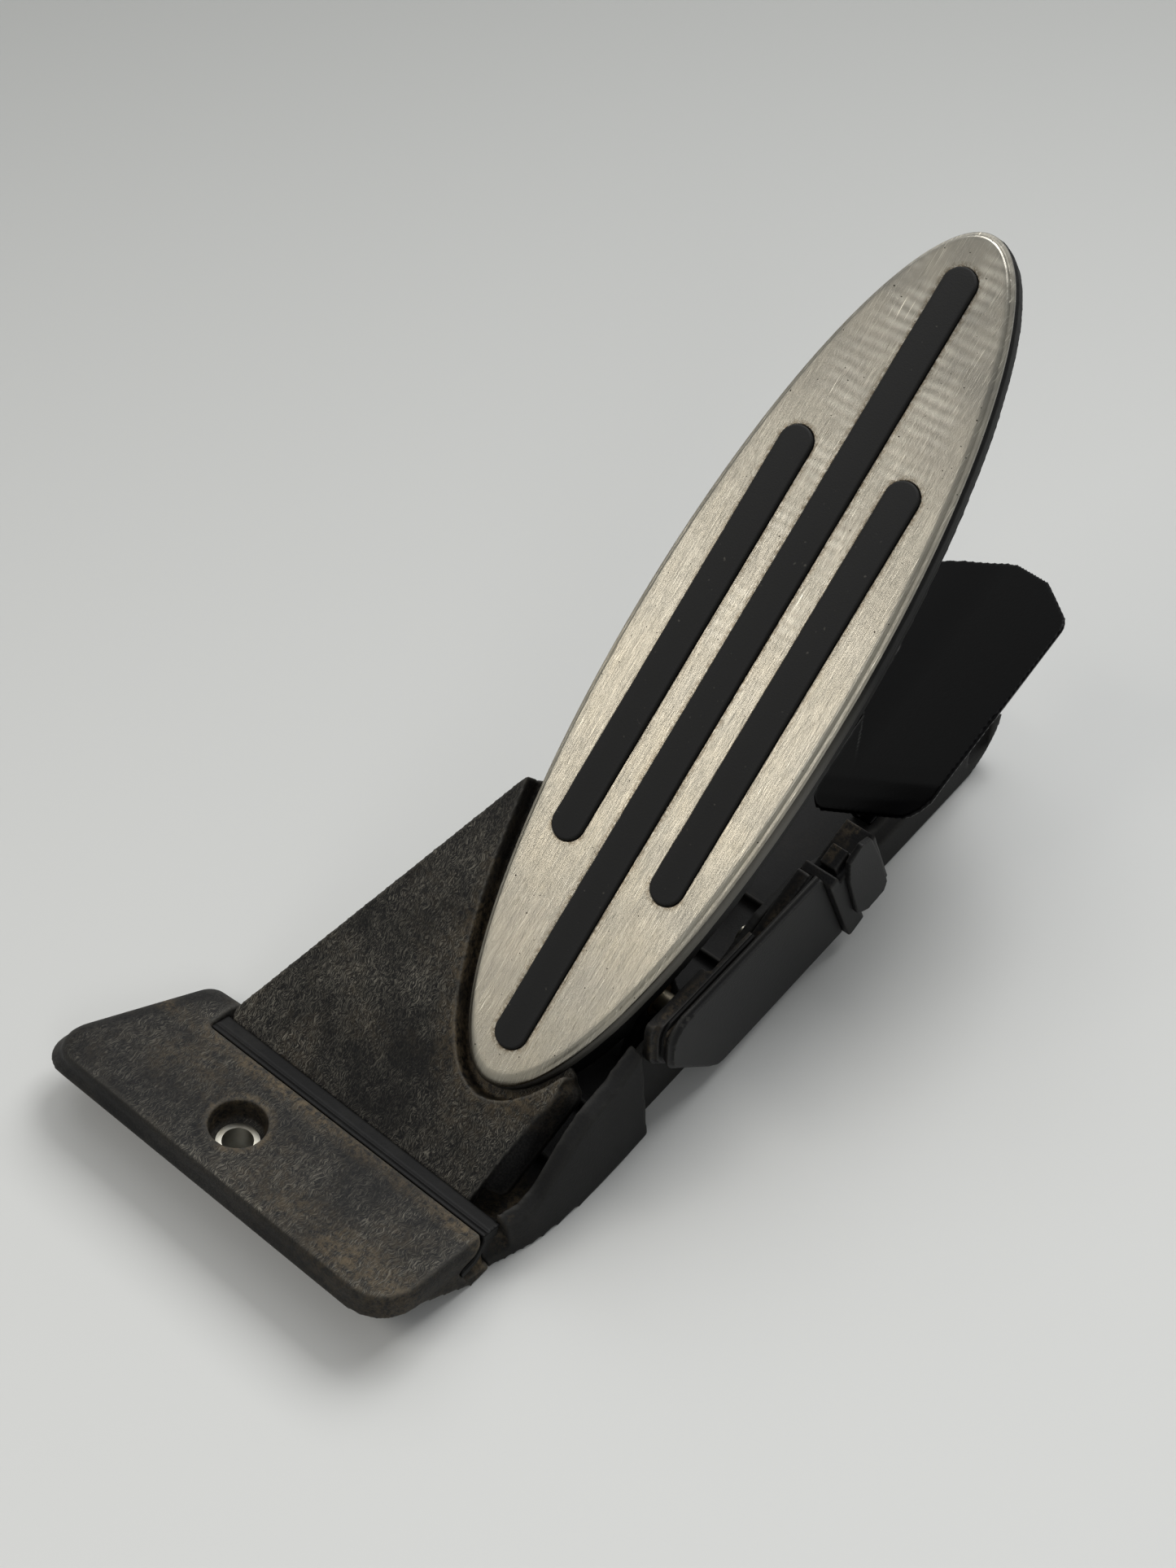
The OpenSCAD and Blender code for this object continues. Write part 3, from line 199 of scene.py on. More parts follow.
# Sleeves, screws and pins. They are turned steel, zinc plated; the sleeves are pressed into the
# plastic so that the car's screws clamp on metal.
def turned_metal(name, colour, rough):
    """A bare or plated metal, with stains 3 mm across where it has dulled."""
    mat, tree = new_material(name)
    place = add(tree, "TexCoord")["Object"]
    stain = add(tree, "TexNoise", {"Vector": place, "Scale": 300, "Detail": 4})["Fac"]
    tint = add(tree, "Mix", {"Factor": stain, UNDER: linear(colour), OVER: linear("#8f8672")},
               data_type="RGBA")[MIXED]
    bump = add(tree, "Bump", {"Height": stain, "Strength": 0.2, "Distance": 0.0002})[0]
    shader = add(tree, "BsdfPrincipled", {"Base Color": tint, "Normal": bump, "Roughness": rough,
                                          "Metallic": 1.0})[0]
    add(tree, "OutputMaterial", {"Surface": shader})
    return mat


def finish_node(material, *names):
    """Gives carried-over CAD nodes a material of their own."""
    for name in names:
        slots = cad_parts[name].data.materials
        slots.clear()
        slots.append(material)


# Zinc plate on turned steel: pale, grey and fairly bright, with dull warm stains.
zinc = turned_metal("zinc-plated steel", "#b9bab5", rough=0.3)
finish_node(zinc, "floor_sleeve", "rear_sleeves", "guard_screws", "sensor_screws", "upper_pin", "lower_pin")


# Hinge strip. It is a smooth strip in black nylon, whose blade hooks into the foot plate's slot.
# A shallow groove runs along its crown, and the treadle's film hinge starts from its upper edge.
def smooth_nylon(name, colour, rough, dust, ior):
    """Nylon from a smooth mould: a faint grain of 0.8 mm, and a film of dust in patches of 11 mm."""
    mat, tree = new_material(name)
    place = add(tree, "TexCoord")["Object"]
    grain = add(tree, "TexNoise", {"Vector": place, "Scale": 1200, "Detail": 2})["Fac"]
    patch = add(tree, "TexNoise", {"Vector": place, "Scale": 90, "Detail": 6, "Roughness": 0.75})["Fac"]
    film = add(tree, "MapRange", {"Value": patch, "From Min": 0.5, "From Max": 0.8, "To Max": dust})[0]
    # The dirt attribute holds dust, and on the carrier's band painted light.
    dirt_and_light_mark = add(tree, "Attribute", attribute_name="dirt", attribute_type="GEOMETRY")["Fac"]
    most = add(tree, "Math", {0: dirt_and_light_mark, 1: film}, operation="MAXIMUM")[0]
    tint = add(tree, "Mix", {"Factor": most, UNDER: linear(colour), OVER: linear("#7d7a72")},
               data_type="RGBA")[MIXED]
    bump = add(tree, "Bump", {"Height": grain, "Strength": 0.12, "Distance": 0.0002})[0]
    shader = add(tree, "BsdfPrincipled", {"Base Color": tint, "Normal": bump, "Roughness": rough,
                                          "IOR": ior})[0]
    add(tree, "OutputMaterial", {"Surface": shader})
    return mat


# Nylon from a fine-blasted mould: a satin black that soft light barely lifts, so its IOR is low.
satin_nylon = smooth_nylon("satin black nylon", "#040404", rough=0.5, dust=0.04, ior=1.24)
hinge_strip = moulded("hinge_strip", "hinge_bar", "base", (satin_nylon, "hinge_plastic"),
                      voxel=0.0004, rounds=2)
CROWN_DEPTH, GROOVE_DEPTH, GROOVE_HALF_WIDTH = 0.0012, 0.00035, 0.0007
ridge = max(v.co.z for v in hinge_strip.data.vertices)
crown = [v for v in hinge_strip.data.vertices if v.normal.z > 0.7 and v.co.z > ridge - CROWN_DEPTH]
crown_line = (min(v.co.y for v in crown) + max(v.co.y for v in crown)) / 2
for vertex in crown:
    vertex.co.z -= GROOVE_DEPTH * near(vertex.co.y, crown_line, GROOVE_HALF_WIDTH)

# Treadle. It is moulded in the same glass-filled nylon: a plate with a trough round the pad's
# lower end, thin skirts and ribs below, and a rolled lower edge that turns beside the strip.
# Soles reach it less and less towards its upper end.
PAD_SLOPE, HINGE_HEIGHT, PAD_MIDDLE = math.radians(37.1), 0.0097, (0, 0.1434, 0.0028)
SLOPE = Matrix.Translation((0, 0, HINGE_HEIGHT)) @ Matrix.Rotation(PAD_SLOPE, 4, "X")
PAD = SLOPE @ Matrix.Translation(PAD_MIDDLE)
PAD_HALF_LENGTH, PAD_HALF_WIDTH = 117.5, 30.6
treadle = moulded("treadle_moulding", "treadle", "treadle_body", (walked_nylon, "glass_filled_plastic"),
                  voxel=0.00055, rounds=2, turn=SLOPE)
paint_tread(treadle, SLOPE.to_3x3() @ Vector((0, 0, 1)), least=0.05)
# Soles rub it in full up to 45 mm from the hinge, and a fifth as much from 118 mm on.
for rubbed, vertex in zip(treadle.data.attributes["tread"].data, treadle.data.vertices):
    rubbed.value *= max(0.2, min(1.0, 1.5 - 11 * (SLOPE.inverted() @ vertex.co).y))


def on_pad(p):
    """A point of the part in the pad's own millimetres: across, along and above its face."""
    return PAD.inverted() @ (p / 1000) * 1000


def treadle_dirt(p):
    """Brown dirt in the trough, most of it round the pad's lower end."""
    q = on_pad(p)
    trough = math.hypot(q.x / (PAD_HALF_WIDTH + 3), q.y / (PAD_HALF_LENGTH + 3))
    low = 1.0 if q.y < -70 else 0.25
    return low * (0.8 * near(trough, 1.0, 0.04) + 0.4 * near(trough, 1.05, 0.06))


paint_dirt_and_light(treadle, treadle_dirt)

# Pad carrier. It is moulded in dark grey nylon: an oval tray with ribs below, whose side band
# shows under the metal, and two ears that hold the link's upper pin. Its flank steps in by a
# wall's shadow below the band. The band's lower half is painted paler, painted light where it
# catches the lamps, and the flank below keeps a near-black colour that stands for its shade.
BAND, FLANK, STEP = -8.0, 0.93, 1.2
# Nylon from a lightly grained mould, quite dull. Its nearly black colour is painted shade, for the flank in
# the pad's shade.
grey_nylon_painted_shade = smooth_nylon("dark grey nylon with painted shade and light", "#060606", rough=0.6, dust=0.02, ior=1.3)
carrier = moulded("pad_carrier_moulding", "pad_carrier", "treadle_body", (grey_nylon_painted_shade, "sensor_plastic"),
                  voxel=0.0006, rounds=3, turn=PAD)
for vertex in carrier.data.vertices:
    q = PAD.inverted() @ vertex.co * 1000
    out = math.hypot(q.x / PAD_HALF_WIDTH, q.y / PAD_HALF_LENGTH)
    if q.z < BAND and out > FLANK:
        vertex.co = PAD @ (Vector((q.x * (1 - STEP / PAD_HALF_WIDTH), q.y, q.z)) / 1000)


def band_painted_light(p):
    """Painted light along the lower half of the band, thickest 55 mm below the pad's middle."""
    q = on_pad(p)
    return 0.6 * (q.z > BAND - 0.3) * min(1.0, 1.6 * near(q.y, -55, 70))


# The band's painted light goes in through the dirt attribute, which the nylon mixes in pale.
paint_dirt_and_light(carrier, band_painted_light)


# Rubber sheet. One sheet of black rubber lies under the metal. Its three strips stand up through
# the cover's slots and are moulded with a soft round edge.
def ring_of(mesh, points):
    """New vertices of a mesh at points in millimetres."""
    return [mesh.verts.new(Vector(p) / 1000) for p in points]


def join_rings(mesh, low, high):
    """A closed strip of faces between two rings with as many vertices each."""
    n = len(low)
    for i in range(n):
        mesh.faces.new((low[i], low[(i + 1) % n], high[(i + 1) % n], high[i]))


def loft(rings, closed):
    """A mesh through rings of points, from the lowest to the highest, and its rings."""
    mesh = bmesh.new()
    loops = [ring_of(mesh, ring) for ring in rings]
    for low, high in zip(loops, loops[1:]):
        join_rings(mesh, low, high)
    if closed:
        mesh.faces.new(reversed(loops[0]))
        mesh.faces.new(loops[-1])
    return mesh, loops


def put_in(mesh, other):
    """Adds another mesh to a mesh."""
    part = bpy.data.meshes.new("part")
    other.to_mesh(part)
    other.free()
    mesh.from_mesh(part)


OVAL_POINTS = 288


def oval(inset, z):
    """The pad's outline, drawn in by an inset, at a height."""
    turns = [math.tau * i / OVAL_POINTS for i in range(OVAL_POINTS)]
    return [((PAD_HALF_WIDTH - inset) * math.cos(t), (PAD_HALF_LENGTH - inset) * math.sin(t), z)
            for t in turns]


# Each strip's place across the pad, half its length, and the radius of its round ends.
STRIPS = ((-15.3, 57.5), (0, 107.5), (15.3, 57.5))
STRIP_R, END_STEPS = 4.3, 24


def strip_outline(x, half, grow, z):
    """Outline of a strip, grown sideways."""
    r, points = STRIP_R + grow, []
    for end in (0, 1):
        for i in range(END_STEPS + 1):
            t = math.pi * (i / END_STEPS + end)
            points.append((x + r * math.cos(t), (half - STRIP_R) * (1 - 2 * end) + r * math.sin(t), z))
    return points


def finish_mesh(mesh):
    """Welds a mesh, turns its faces outwards and lays it from the pad's own frame on the pad."""
    bmesh.ops.remove_doubles(mesh, verts=mesh.verts, dist=1e-6)
    bmesh.ops.recalc_face_normals(mesh, faces=mesh.faces)
    mesh.transform(PAD)
    data = bpy.data.meshes.new("piece")
    mesh.to_mesh(data)
    mesh.free()
    return data


# Moulded rubber: a matt near-black with a fine 0.4 mm texture, and pale grit pressed into it.
rubber, tree = new_material("moulded black rubber")
place = add(tree, "TexCoord")["Object"]
skin = add(tree, "TexNoise", {"Vector": place, "Scale": 2400, "Detail": 3})["Fac"]
grit = add(tree, "TexNoise", {"Vector": place, "Scale": 700, "Detail": 1})["Fac"]
specks = add(tree, "MapRange", {"Value": grit, "From Min": 0.74, "From Max": 0.82, "To Max": 0.35})[0]
tint = add(tree, "Mix", {"Factor": specks, UNDER: linear("#0b0b0b"), OVER: linear("#6a675f")},
           data_type="RGBA")[MIXED]
bump = add(tree, "Bump", {"Height": skin, "Strength": 0.3, "Distance": 0.0002})[0]
shader = add(tree, "BsdfPrincipled", {"Base Color": tint, "Normal": bump, "Roughness": 0.75, "IOR": 1.4})[0]
add(tree, "OutputMaterial", {"Surface": shader})

# The sheet's inset from the cover's edge, its underside and its top, then the strips' profile as
# growth and height.
SHEET_INSET, SHEET_LOW, SHEET_HIGH = 6, -2.3, -0.8
SOFT_EDGE = ((0, -1.0), (0, 0.6), (-0.05, 0.84), (-0.16, 1.03), (-0.34, 1.15), (-0.6, 1.2))
sheet = loft([oval(SHEET_INSET, SHEET_LOW), oval(SHEET_INSET, SHEET_HIGH)], closed=True)[0]
for x, half in STRIPS:
    put_in(sheet, loft([strip_outline(x, half, grow, z) for grow, z in SOFT_EDGE], closed=True)[0])
settle("rubber_sheet_and_strips", finish_mesh(sheet), "treadle_body", (rubber, "strip_rubber"),
       "rubber_insert")

# Pad cover. It is pressed from stainless sheet 0.8 mm thick, brushed along its length, with its
# edge rolled down over the carrier. Soles have dulled and scratched it.
SHEET_T, ROLL = 0.8, 3.2
# Each point of the rim: inset and height at the long sides, then at the lower round end. The
# sides have a pressed groove with a bead below it, the lower end a plain wide roll.
OUTER = [(1.1, -ROLL, 1.1, -ROLL), (0.3, -ROLL, 0.3, -ROLL), (0.05, -2.9, 0.1, -2.8),
         (0.0, -2.3, 0.0, -2.3), (0.08, -1.9, 0.1, -1.9), (0.30, -1.62, 0.3, -1.45),
         (0.65, -1.5, 0.6, -1.05), (0.95, -1.42, 1.0, -0.7), (1.15, -1.2, 1.5, -0.42),
         (1.3, -0.75, 2.1, -0.2), (1.6, -0.3, 2.8, -0.07), (2.0, -0.06, 3.4, -0.01),
         (2.4, 0.0, 3.9, 0.0), (3.0, 0.0, 4.6, 0.0)]
INNER = [(3.5, -SHEET_T), (1.9, -1.1), (1.1, -1.9), (0.85, -2.4), (1.1, -ROLL)]


def rim(side, side_z, end, end_z):
    """One ring round the pad, from its inset and height at the sides to those at the lower end."""
    ring = []
    for i in range(OVAL_POINTS):
        t = math.tau * i / OVAL_POINTS
        w = max(0.0, -math.sin(t)) ** 10
        inset, z = side + w * (end - side), side_z + w * (end_z - side_z)
        ring.append(((PAD_HALF_WIDTH - inset) * math.cos(t), (PAD_HALF_LENGTH - inset) * math.sin(t), z))
    return ring


cover, loops = loft([rim(*point) for point in OUTER], closed=False)
top_rim = loops[-1]
put_in(cover, loft([oval(inset, z) for inset, z in reversed(INNER)], closed=False)[0])


def flat_with_slots(mesh, border, z, grow):
    """Fills a flat face inside a border, round the three slots, and gives back their outlines."""
    slots = [ring_of(mesh, strip_outline(x, half, grow, z)) for x, half in STRIPS]
    edges = []
    for loop in [border] + slots:
        for a, b in zip(loop, loop[1:] + loop[:1]):
            edges.append(mesh.edges.get((a, b)) or mesh.edges.new((a, b)))
    bmesh.ops.triangle_fill(mesh, use_beauty=True, use_dissolve=False, edges=edges)
    return slots


# A flat ring round each slot keeps its rounded edge from shading the whole face.
FLAT_RING, SLOT_EDGE = 1.8, ((0.45, 0.0), (0.25, -0.08), (0.2, -0.25))
high_slots = flat_with_slots(cover, top_rim, 0.0, FLAT_RING)
# The top ring of the cover's inner skin, put in order round the oval.
low_rim = [v for v in cover.verts if abs(v.co.z + SHEET_T / 1000) < 1e-7]
low_rim.sort(key=lambda v: math.atan2(v.co.y / PAD_HALF_LENGTH, v.co.x / PAD_HALF_WIDTH))
low_slots = flat_with_slots(cover, low_rim, -SHEET_T, 0.2)
for (x, half), high, low in zip(STRIPS, high_slots, low_slots):
    rings = [high] + [ring_of(cover, strip_outline(x, half, grow, z)) for grow, z in SLOT_EDGE] + [low]
    for outside, inside in zip(rings, rings[1:]):
        join_rings(cover, outside, inside)
cover_mesh = finish_mesh(cover)

# Brushed stainless steel: a light metal, warmer towards the heel, that shoes have dulled in patches
# of 20 mm. Its grinding lines are 0.2 mm apart and run along the pad. Over them lie long thin
# scratches, rare pits of 0.8 mm, and a grinder's ripple every 3 mm between the strips of its upper
# half, in faint relief, with its crests painted pale as a painted reflection of banded light.
steel, tree = new_material("brushed stainless steel")
place = add(tree, "TexCoord")["Object"]
flat = add(tree, "Mapping", {"Vector": place, "Location": PAD.translation, "Rotation": (PAD_SLOPE, 0, 0)},
           vector_type="TEXTURE")[0]


def streaks(turn, across, along, low, high, amount):
    """Lines that run along the pad, turned by an angle. 1000 / across is their width in mm, and
    1000 / along their length."""
    line = add(tree, "Mapping", {"Vector": flat, "Rotation": (0, 0, turn), "Scale": (across, along, 400)})[0]
    noise = add(tree, "TexNoise", {"Vector": line, "Scale": 1, "Detail": 3, "Roughness": 0.6})["Fac"]
    return add(tree, "MapRange", {"Value": noise, "From Min": low, "From Max": high, "To Max": amount})[0]


brushed = streaks(0.0, 6000, 45, 0.3, 0.7, 1.0)
diagonal = streaks(0.45, 3000, 90, 0.45, 0.75, 1.0)
fine_lines = streaks(0.12, 5600, 90, 0.60, 0.68, 0.35)
long_lines = streaks(0.30, 2800, 50, 0.67, 0.72, 1.0)
crossed = streaks(-0.75, 3200, 110, 0.70, 0.75, 0.6)
dark_lines = streaks(0.5, 3400, 120, 0.67, 0.72, 0.8)
dark_along = streaks(-0.15, 3800, 90, 0.68, 0.74, 0.5)
light_line = add(tree, "Math", {0: fine_lines, 1: long_lines}, operation="MAXIMUM")[0]
light_line = add(tree, "Math", {0: light_line, 1: crossed}, operation="MAXIMUM")[0]
dark_line = add(tree, "Math", {0: dark_lines, 1: dark_along}, operation="MAXIMUM")[0]

axes = add(tree, "SeparateXYZ", {"Vector": flat})
wave = add(tree, "TexWave", {"Vector": flat, "Scale": 108, "Distortion": 1.6, "Detail": 1,
                             "Detail Scale": 0.9}, bands_direction="Y")["Fac"]
blotch = add(tree, "TexNoise", {"Vector": flat, "Scale": 75, "Detail": 2})["Fac"]
spots = add(tree, "MapRange", {"Value": blotch, "From Min": 0.38, "From Max": 0.62})[0]
upper = add(tree, "MapRange", {"Value": axes["Y"], "From Min": -0.01, "From Max": 0.02})[0]
off_middle = add(tree, "Math", {0: axes["X"]}, operation="ABSOLUTE")[0]
between = add(tree, "MapRange", {"Value": off_middle, "From Min": 0.013, "From Max": 0.020,
                                 "To Min": 1.0, "To Max": 0.15})[0]
strong = add(tree, "Math", {0: upper, 1: between}, operation="MULTIPLY")[0]
patchy = add(tree, "Math", {0: wave, 1: spots}, operation="MULTIPLY")[0]
rippled = add(tree, "Math", {0: patchy, 1: strong}, operation="MULTIPLY")[0]
# Painted reflection: the ripple's crests are painted pale, standing in for banded light mirrored in the
# steel.
ripple_painted_reflection = add(tree, "Math", {0: rippled, 1: 0.20}, operation="MULTIPLY")[0]

dulled = add(tree, "TexNoise", {"Vector": flat, "Scale": 45, "Detail": 4, "Roughness": 0.65})["Fac"]
dull = add(tree, "MapRange", {"Value": dulled, "From Min": 0.35, "From Max": 0.65})[0]
pit = add(tree, "TexNoise", {"Vector": flat, "Scale": 1300, "Detail": 0})["Fac"]
pits = add(tree, "MapRange", {"Value": pit, "From Min": 0.83, "From Max": 0.85})[0]
dirt_and_light_mark = add(tree, "Attribute", attribute_name="dirt", attribute_type="GEOMETRY")["Fac"]
crumbs = add(tree, "TexNoise", {"Vector": flat, "Scale": 800, "Detail": 3, "Roughness": 0.8})["Fac"]
broken = add(tree, "MapRange", {"Value": crumbs, "From Min": 0.42, "From Max": 0.55})[0]
grime = add(tree, "Math", {0: dirt_and_light_mark, 1: broken}, operation="MULTIPLY")[0]

heel_to_toe = add(tree, "MapRange", {"Value": axes["Y"], "From Min": -0.02, "From Max": 0.09})[0]
tint = add(tree, "Mix", {"Factor": heel_to_toe, UNDER: linear("#b3ab99"), OVER: linear("#777672")},
           data_type="RGBA")[MIXED]
for share, colour in ((dull, "#a6a195"), (brushed, "#928e84"), (ripple_painted_reflection, "#f6f2e6"), (light_line, "#f2ecdc"),
                      (dark_line, "#726b5c"), (pits, "#1b1712"), (grime, "#54452f")):
    tint = add(tree, "Mix", {"Factor": share, UNDER: tint, OVER: linear(colour)}, data_type="RGBA")[MIXED]
ground = add(tree, "Math", {0: brushed, 1: diagonal}, operation="ADD")[0]
rough = add(tree, "MapRange", {"Value": ground, "From Max": 2.0, "To Min": 0.30, "To Max": 0.40})[0]
cut = add(tree, "Math", {0: ground, 1: dark_line}, operation="SUBTRACT")[0]
height = add(tree, "Math", {0: rippled, 1: 0.28, 2: cut}, operation="MULTIPLY_ADD")[0]
bump = add(tree, "Bump", {"Height": height, "Strength": 0.3, "Distance": 0.0001})[0]
shader = add(tree, "BsdfPrincipled", {"Base Color": tint, "Roughness": rough, "Normal": bump,
                                      "Metallic": 1.0})[0]
add(tree, "OutputMaterial", {"Surface": shader})
pad_cover = settle("pressed_pad_cover", cover_mesh, "treadle_body", (steel, "stainless_sheet"), "pad_cover")
pad_cover.data.set_sharp_from_angle(angle=math.radians(18))


def slot_grime(p):
    """Brown dirt left by soles against the ends of the rubber strips."""
    q, most = on_pad(p), 0.0
    for x, half in STRIPS:
        over = math.hypot(q.x - x, max(0.0, abs(q.y) - half + STRIP_R)) - STRIP_R
        most = max(most, near(over, 0.35, 0.8) * (0.8 if abs(q.y) > half - STRIP_R else 0.12))
    return most


paint_dirt_and_light(pad_cover, slot_grime)

# Frame. It is one long moulding in the same nylon: side walls, the wing beside the treadle, the
# sensor's recess and the rear rails. The pad covers it, so it is cleaner than the foot plate, with
# dirt only where the wing meets the strip.
# The same nylon as moulded, without felt: an even dark grey, grained and dull.
shaded_nylon = worn_nylon("clean glass-filled nylon", "#151515", "#1b1b1b",
                          fibres=0.0, dust=0.04, edges=0.10, rough=0.68)
base_frame = moulded("frame_moulding", "base_frame", "base", (shaded_nylon, "glass_filled_plastic"),
                     voxel=0.0008, rounds=2)
paint_dirt_and_light(base_frame, lambda p: 0.9 * near(p.y, 6, 12) * (10 < p.x < 24.5) * (p.z < 14))

# Lever, link and springs. The lever is moulded on a steel shaft in bronze bushes, a short link
# joins it to the pad, two leg springs of drawn wire lift it, and rubber stops end its travel.
finish_node(satin_nylon, "lever", "link_rod", "rotor")
# Drawn and oiled wire: dark grey, half bright. Sintered bronze: a warm, dull yellow brown.
spring_steel = turned_metal("drawn spring steel", "#3a3b3f", rough=0.4)
finish_node(spring_steel, "spring_left", "spring_right", "lever_shaft")
finish_node(turned_metal("sintered bronze", "#b98d4f", rough=0.45), "bush_left", "bush_right")
finish_node(rubber, "stop_buffer", "rest_buffer", "lid_seal")

# Sensor. Its housing and lid are moulded in dull dark grey nylon and screwed to the frame's wall
# from inside, with a sealed circuit board behind the lid and a latched connector above. Dust lies
# on its upper edges.
# Glass-filled nylon from a fine mould: an even dark grey, less dull than the frame.
sensor_nylon = worn_nylon("dull dark grey nylon", "#0d0d0e", "#111112",
                          fibres=0.0, dust=0.03, edges=0.14, rough=0.5)
# Each piece with its voxel, its rounds of smoothing and the dust at a point of it.
sensor_pieces = (("sensor_housing", 0.0005, 2, lambda p: 0.45 * (p.z > 30) * near(p.x, 28.5, 1.5)),
                 ("sensor_lid", 0.0004, 3, lambda p: 0.5 * near(p.x, 31, 0.8) * (p.z > 36)),
                 ("connector_shroud", 0.0004, 2, lambda p: 0.6 * near(p.z, 45, 4) * (p.x < 32)),
                 ("latch_plate", 0.0003, 3, lambda p: 0.0))
for node, voxel, rounds, dust in sensor_pieces:
    piece = moulded(node + "_moulding", node, "base", (sensor_nylon, "sensor_plastic"), voxel, rounds)
    paint_dirt_and_light(piece, dust)
# Printed solder resist: a glossy green. Tinned brass pins: pale yellow and bright.
finish_node(smooth_nylon("green solder resist", "#1d5a36", rough=0.3, dust=0.0, ior=1.5), "circuit_board")
finish_node(turned_metal("tinned brass", "#cfc29a", rough=0.3), "contact_pins")

# Side guard. It is a smooth guard in glossy black nylon, screwed to the rail behind the sensor to
# keep a shoe off it. Its left edge reaches 5 mm further under the pad than the CAD's.
# Heights from which it stands upright and its left edge is straight, then the reach and its blend.
UPRIGHT, STRAIGHT, REACH, BLEND_WIDTH = 0.045, 0.05, 0.005, 0.020
# Nylon from a polished mould: a deep black that mirrors the room only faintly, so its IOR is low.
gloss_nylon = smooth_nylon("glossy black nylon", "#010102", rough=0.28, dust=0.0, ior=1.19)
guard = moulded("guard_moulding", "side_guard", "base", (gloss_nylon, "guard_plastic"),
                voxel=0.0006, rounds=3)
left_edge = min(v.co.x for v in guard.data.vertices if v.co.z > STRAIGHT)
for vertex in guard.data.vertices:
    if vertex.co.z > UPRIGHT:
        vertex.co.x -= REACH * near(vertex.co.x, left_edge, BLEND_WIDTH) ** 2

# Floor. It is a sheet of pale, matt backdrop paper, painted a little darker towards the back as
# painted shade, the lamps' light falling off. Past the reach of the lamps it stays pale, as does the
# room, for the camera and in what metal mirrors.
PALE = linear("#b2b3b1")
# Uncoated paper: a pale grey and matt. Its colour is painted darker along the camera's heading, which
# is turned by 0.69 radians from the part's own: painted shade where the lamps' light falls off.
paper, tree = new_material("pale backdrop paper")
place = add(tree, "TexCoord")["Object"]
away = add(tree, "Mapping", {"Vector": place, "Rotation": (0, 0, -0.69)})[0]
depth = add(tree, "MapRange", {"Value": add(tree, "SeparateXYZ", {"Vector": away})["Y"],
                               "From Min": -0.2, "From Max": 0.55})[0]
tint = add(tree, "Mix", {"Factor": depth, UNDER: linear("#d2d3d1"), OVER: linear("#949593")},
           data_type="RGBA")[MIXED]
shader = add(tree, "BsdfPrincipled", {"Base Color": tint, "Roughness": 0.6})[0]
far_off = add(tree, "VectorMath", {0: place}, operation="LENGTH")["Value"]
horizon = add(tree, "MapRange", {"Value": far_off, "From Min": 0.7, "From Max": 1.7})[0]


def seen_directly():
    """1 for what the camera, metal or glass sees, and 0 for the light that falls on the part."""
    path = add(tree, "LightPath")
    mirrored = add(tree, "Math", {0: path["Is Glossy Ray"], 1: path["Is Transmission Ray"]},
                   operation="MAXIMUM")[0]
    return add(tree, "Math", {0: mirrored, 1: path["Is Camera Ray"]}, operation="MAXIMUM")[0]


fade = add(tree, "Math", {0: horizon, 1: seen_directly()}, operation="MULTIPLY")[0]
haze = add(tree, "Emission", {"Color": PALE})[0]
add(tree, "OutputMaterial", {"Surface": add(tree, "MixShader", {0: fade, 1: shader, 2: haze})[0]})
bpy.ops.mesh.primitive_plane_add(size=6)
floor = bpy.context.object
floor.name = "floor"
floor.data.materials.append(paper)

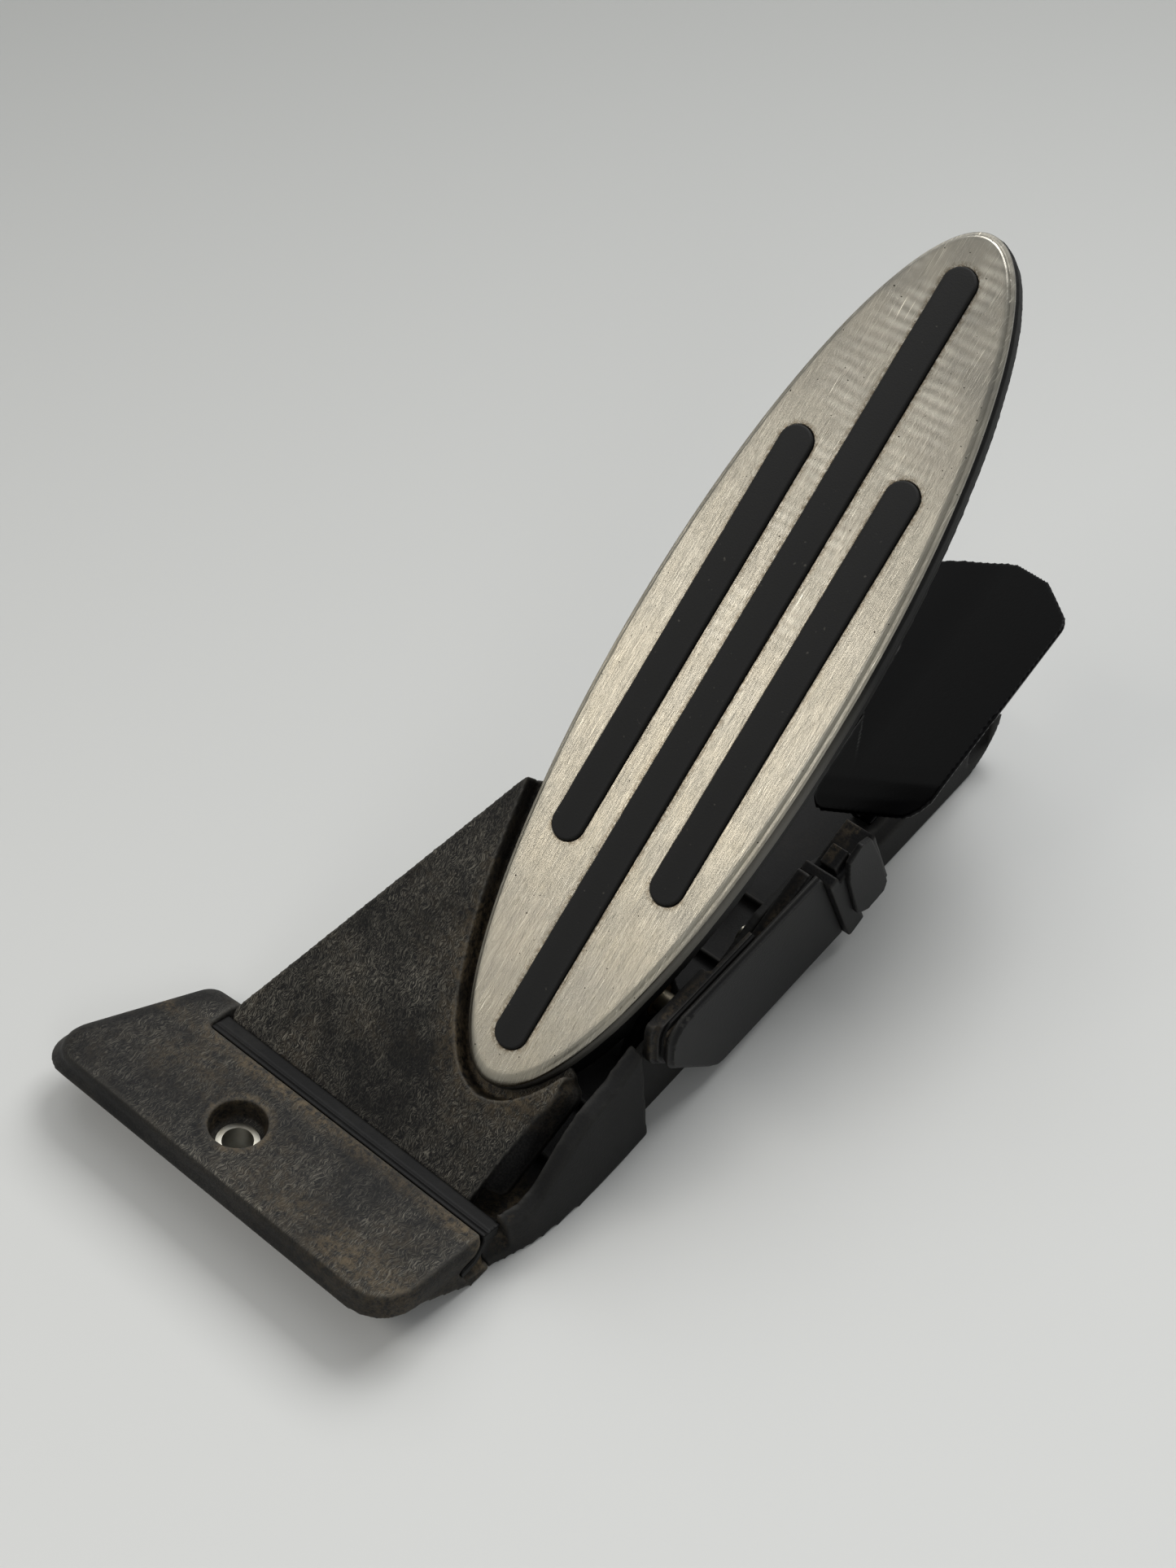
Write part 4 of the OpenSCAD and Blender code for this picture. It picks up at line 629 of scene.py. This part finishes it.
# Room and lamps. A dim pale room, brighter overhead, surrounds the part. One soft lamp behind it
# throws its shadow forward, one stands on the left, a long one shines in the metal from the heel's
# side, and a small one on the right lights the sensor.
room = bpy.data.worlds.new("soft room")
scene.world = room
room.use_nodes = True
tree = room.node_tree
tree.nodes.clear()
way = add(tree, "TexCoord")["Generated"]
climb = add(tree, "SeparateXYZ", {"Vector": way})["Z"]
strength = add(tree, "MapRange", {"Value": climb, "From Min": 0.05, "From Max": 0.85,
                                  "To Min": 0.12, "To Max": 0.37})[0]
walls = add(tree, "Background", {"Strength": strength, "Color": linear("#f4f6f8")})[0]
backdrop = add(tree, "Background", {"Color": PALE, "Strength": 1.0})[0]
add(tree, "OutputWorld", {"Surface": add(tree, "MixShader", {0: seen_directly(), 1: walls, 2: backdrop})[0]})


def soft_lamp(name, place, aim, width, depth, power, colour):
    """A rectangular lamp, turned towards its aim. Its sizes are in metres, its power in watts."""
    lamp = bpy.data.lights.new(name, "AREA")
    lamp.shape, lamp.size, lamp.size_y, lamp.energy = "RECTANGLE", width, depth, power
    lamp.color = linear(colour)[:3]
    lamp_object = bpy.data.objects.new(name, lamp)
    lamp_object.location = place
    lamp_object.rotation_euler = (Vector(aim) - Vector(place)).to_track_quat("-Z", "Y").to_euler()
    scene.collection.objects.link(lamp_object)


MIDDLE, PAD_CENTRE = (0, 0.1, 0.05), (0, 0.11, 0.09)
soft_lamp("left_softbox", (-0.80, 0.7, 1.2), MIDDLE, 1.2, 1.0, 6, "#ffffff")
soft_lamp("back_softbox", (-0.05, 1.0, 1.15), MIDDLE, 0.9, 0.7, 15, "#ffffff")
soft_lamp("heel_softbox", (-0.452, -0.59, 0.96), PAD_CENTRE, 0.7, 0.22, 3.5, "#fffaf3")
soft_lamp("side_softbox", (0.70, -0.50, 0.80), PAD_CENTRE, 0.35, 0.35, 1.3, "#ffffff")

# Camera. It stands to the right of the heel and looks steeply down. Its lens, place and turn are
# fitted to the pad's oval, the strips and the floor, so they are given as they came out.
camera = bpy.data.cameras.new("camera")
camera.sensor_fit, camera.sensor_height, camera.lens = "VERTICAL", 36, 50.44
eye = bpy.data.objects.new("camera", camera)
right, up, back = (0.76863, 0.63969, 0), (-0.49801, 0.59839, 0.62763), (0.40149, -0.48242, 0.77851)
turned = Matrix((right, up, back)).transposed().to_4x4()
eye.matrix_world = Matrix.Translation((0.1979, -0.1787, 0.4879)) @ turned
scene.collection.objects.link(eye)
scene.camera = eye
scene.view_settings.view_transform = "Standard"
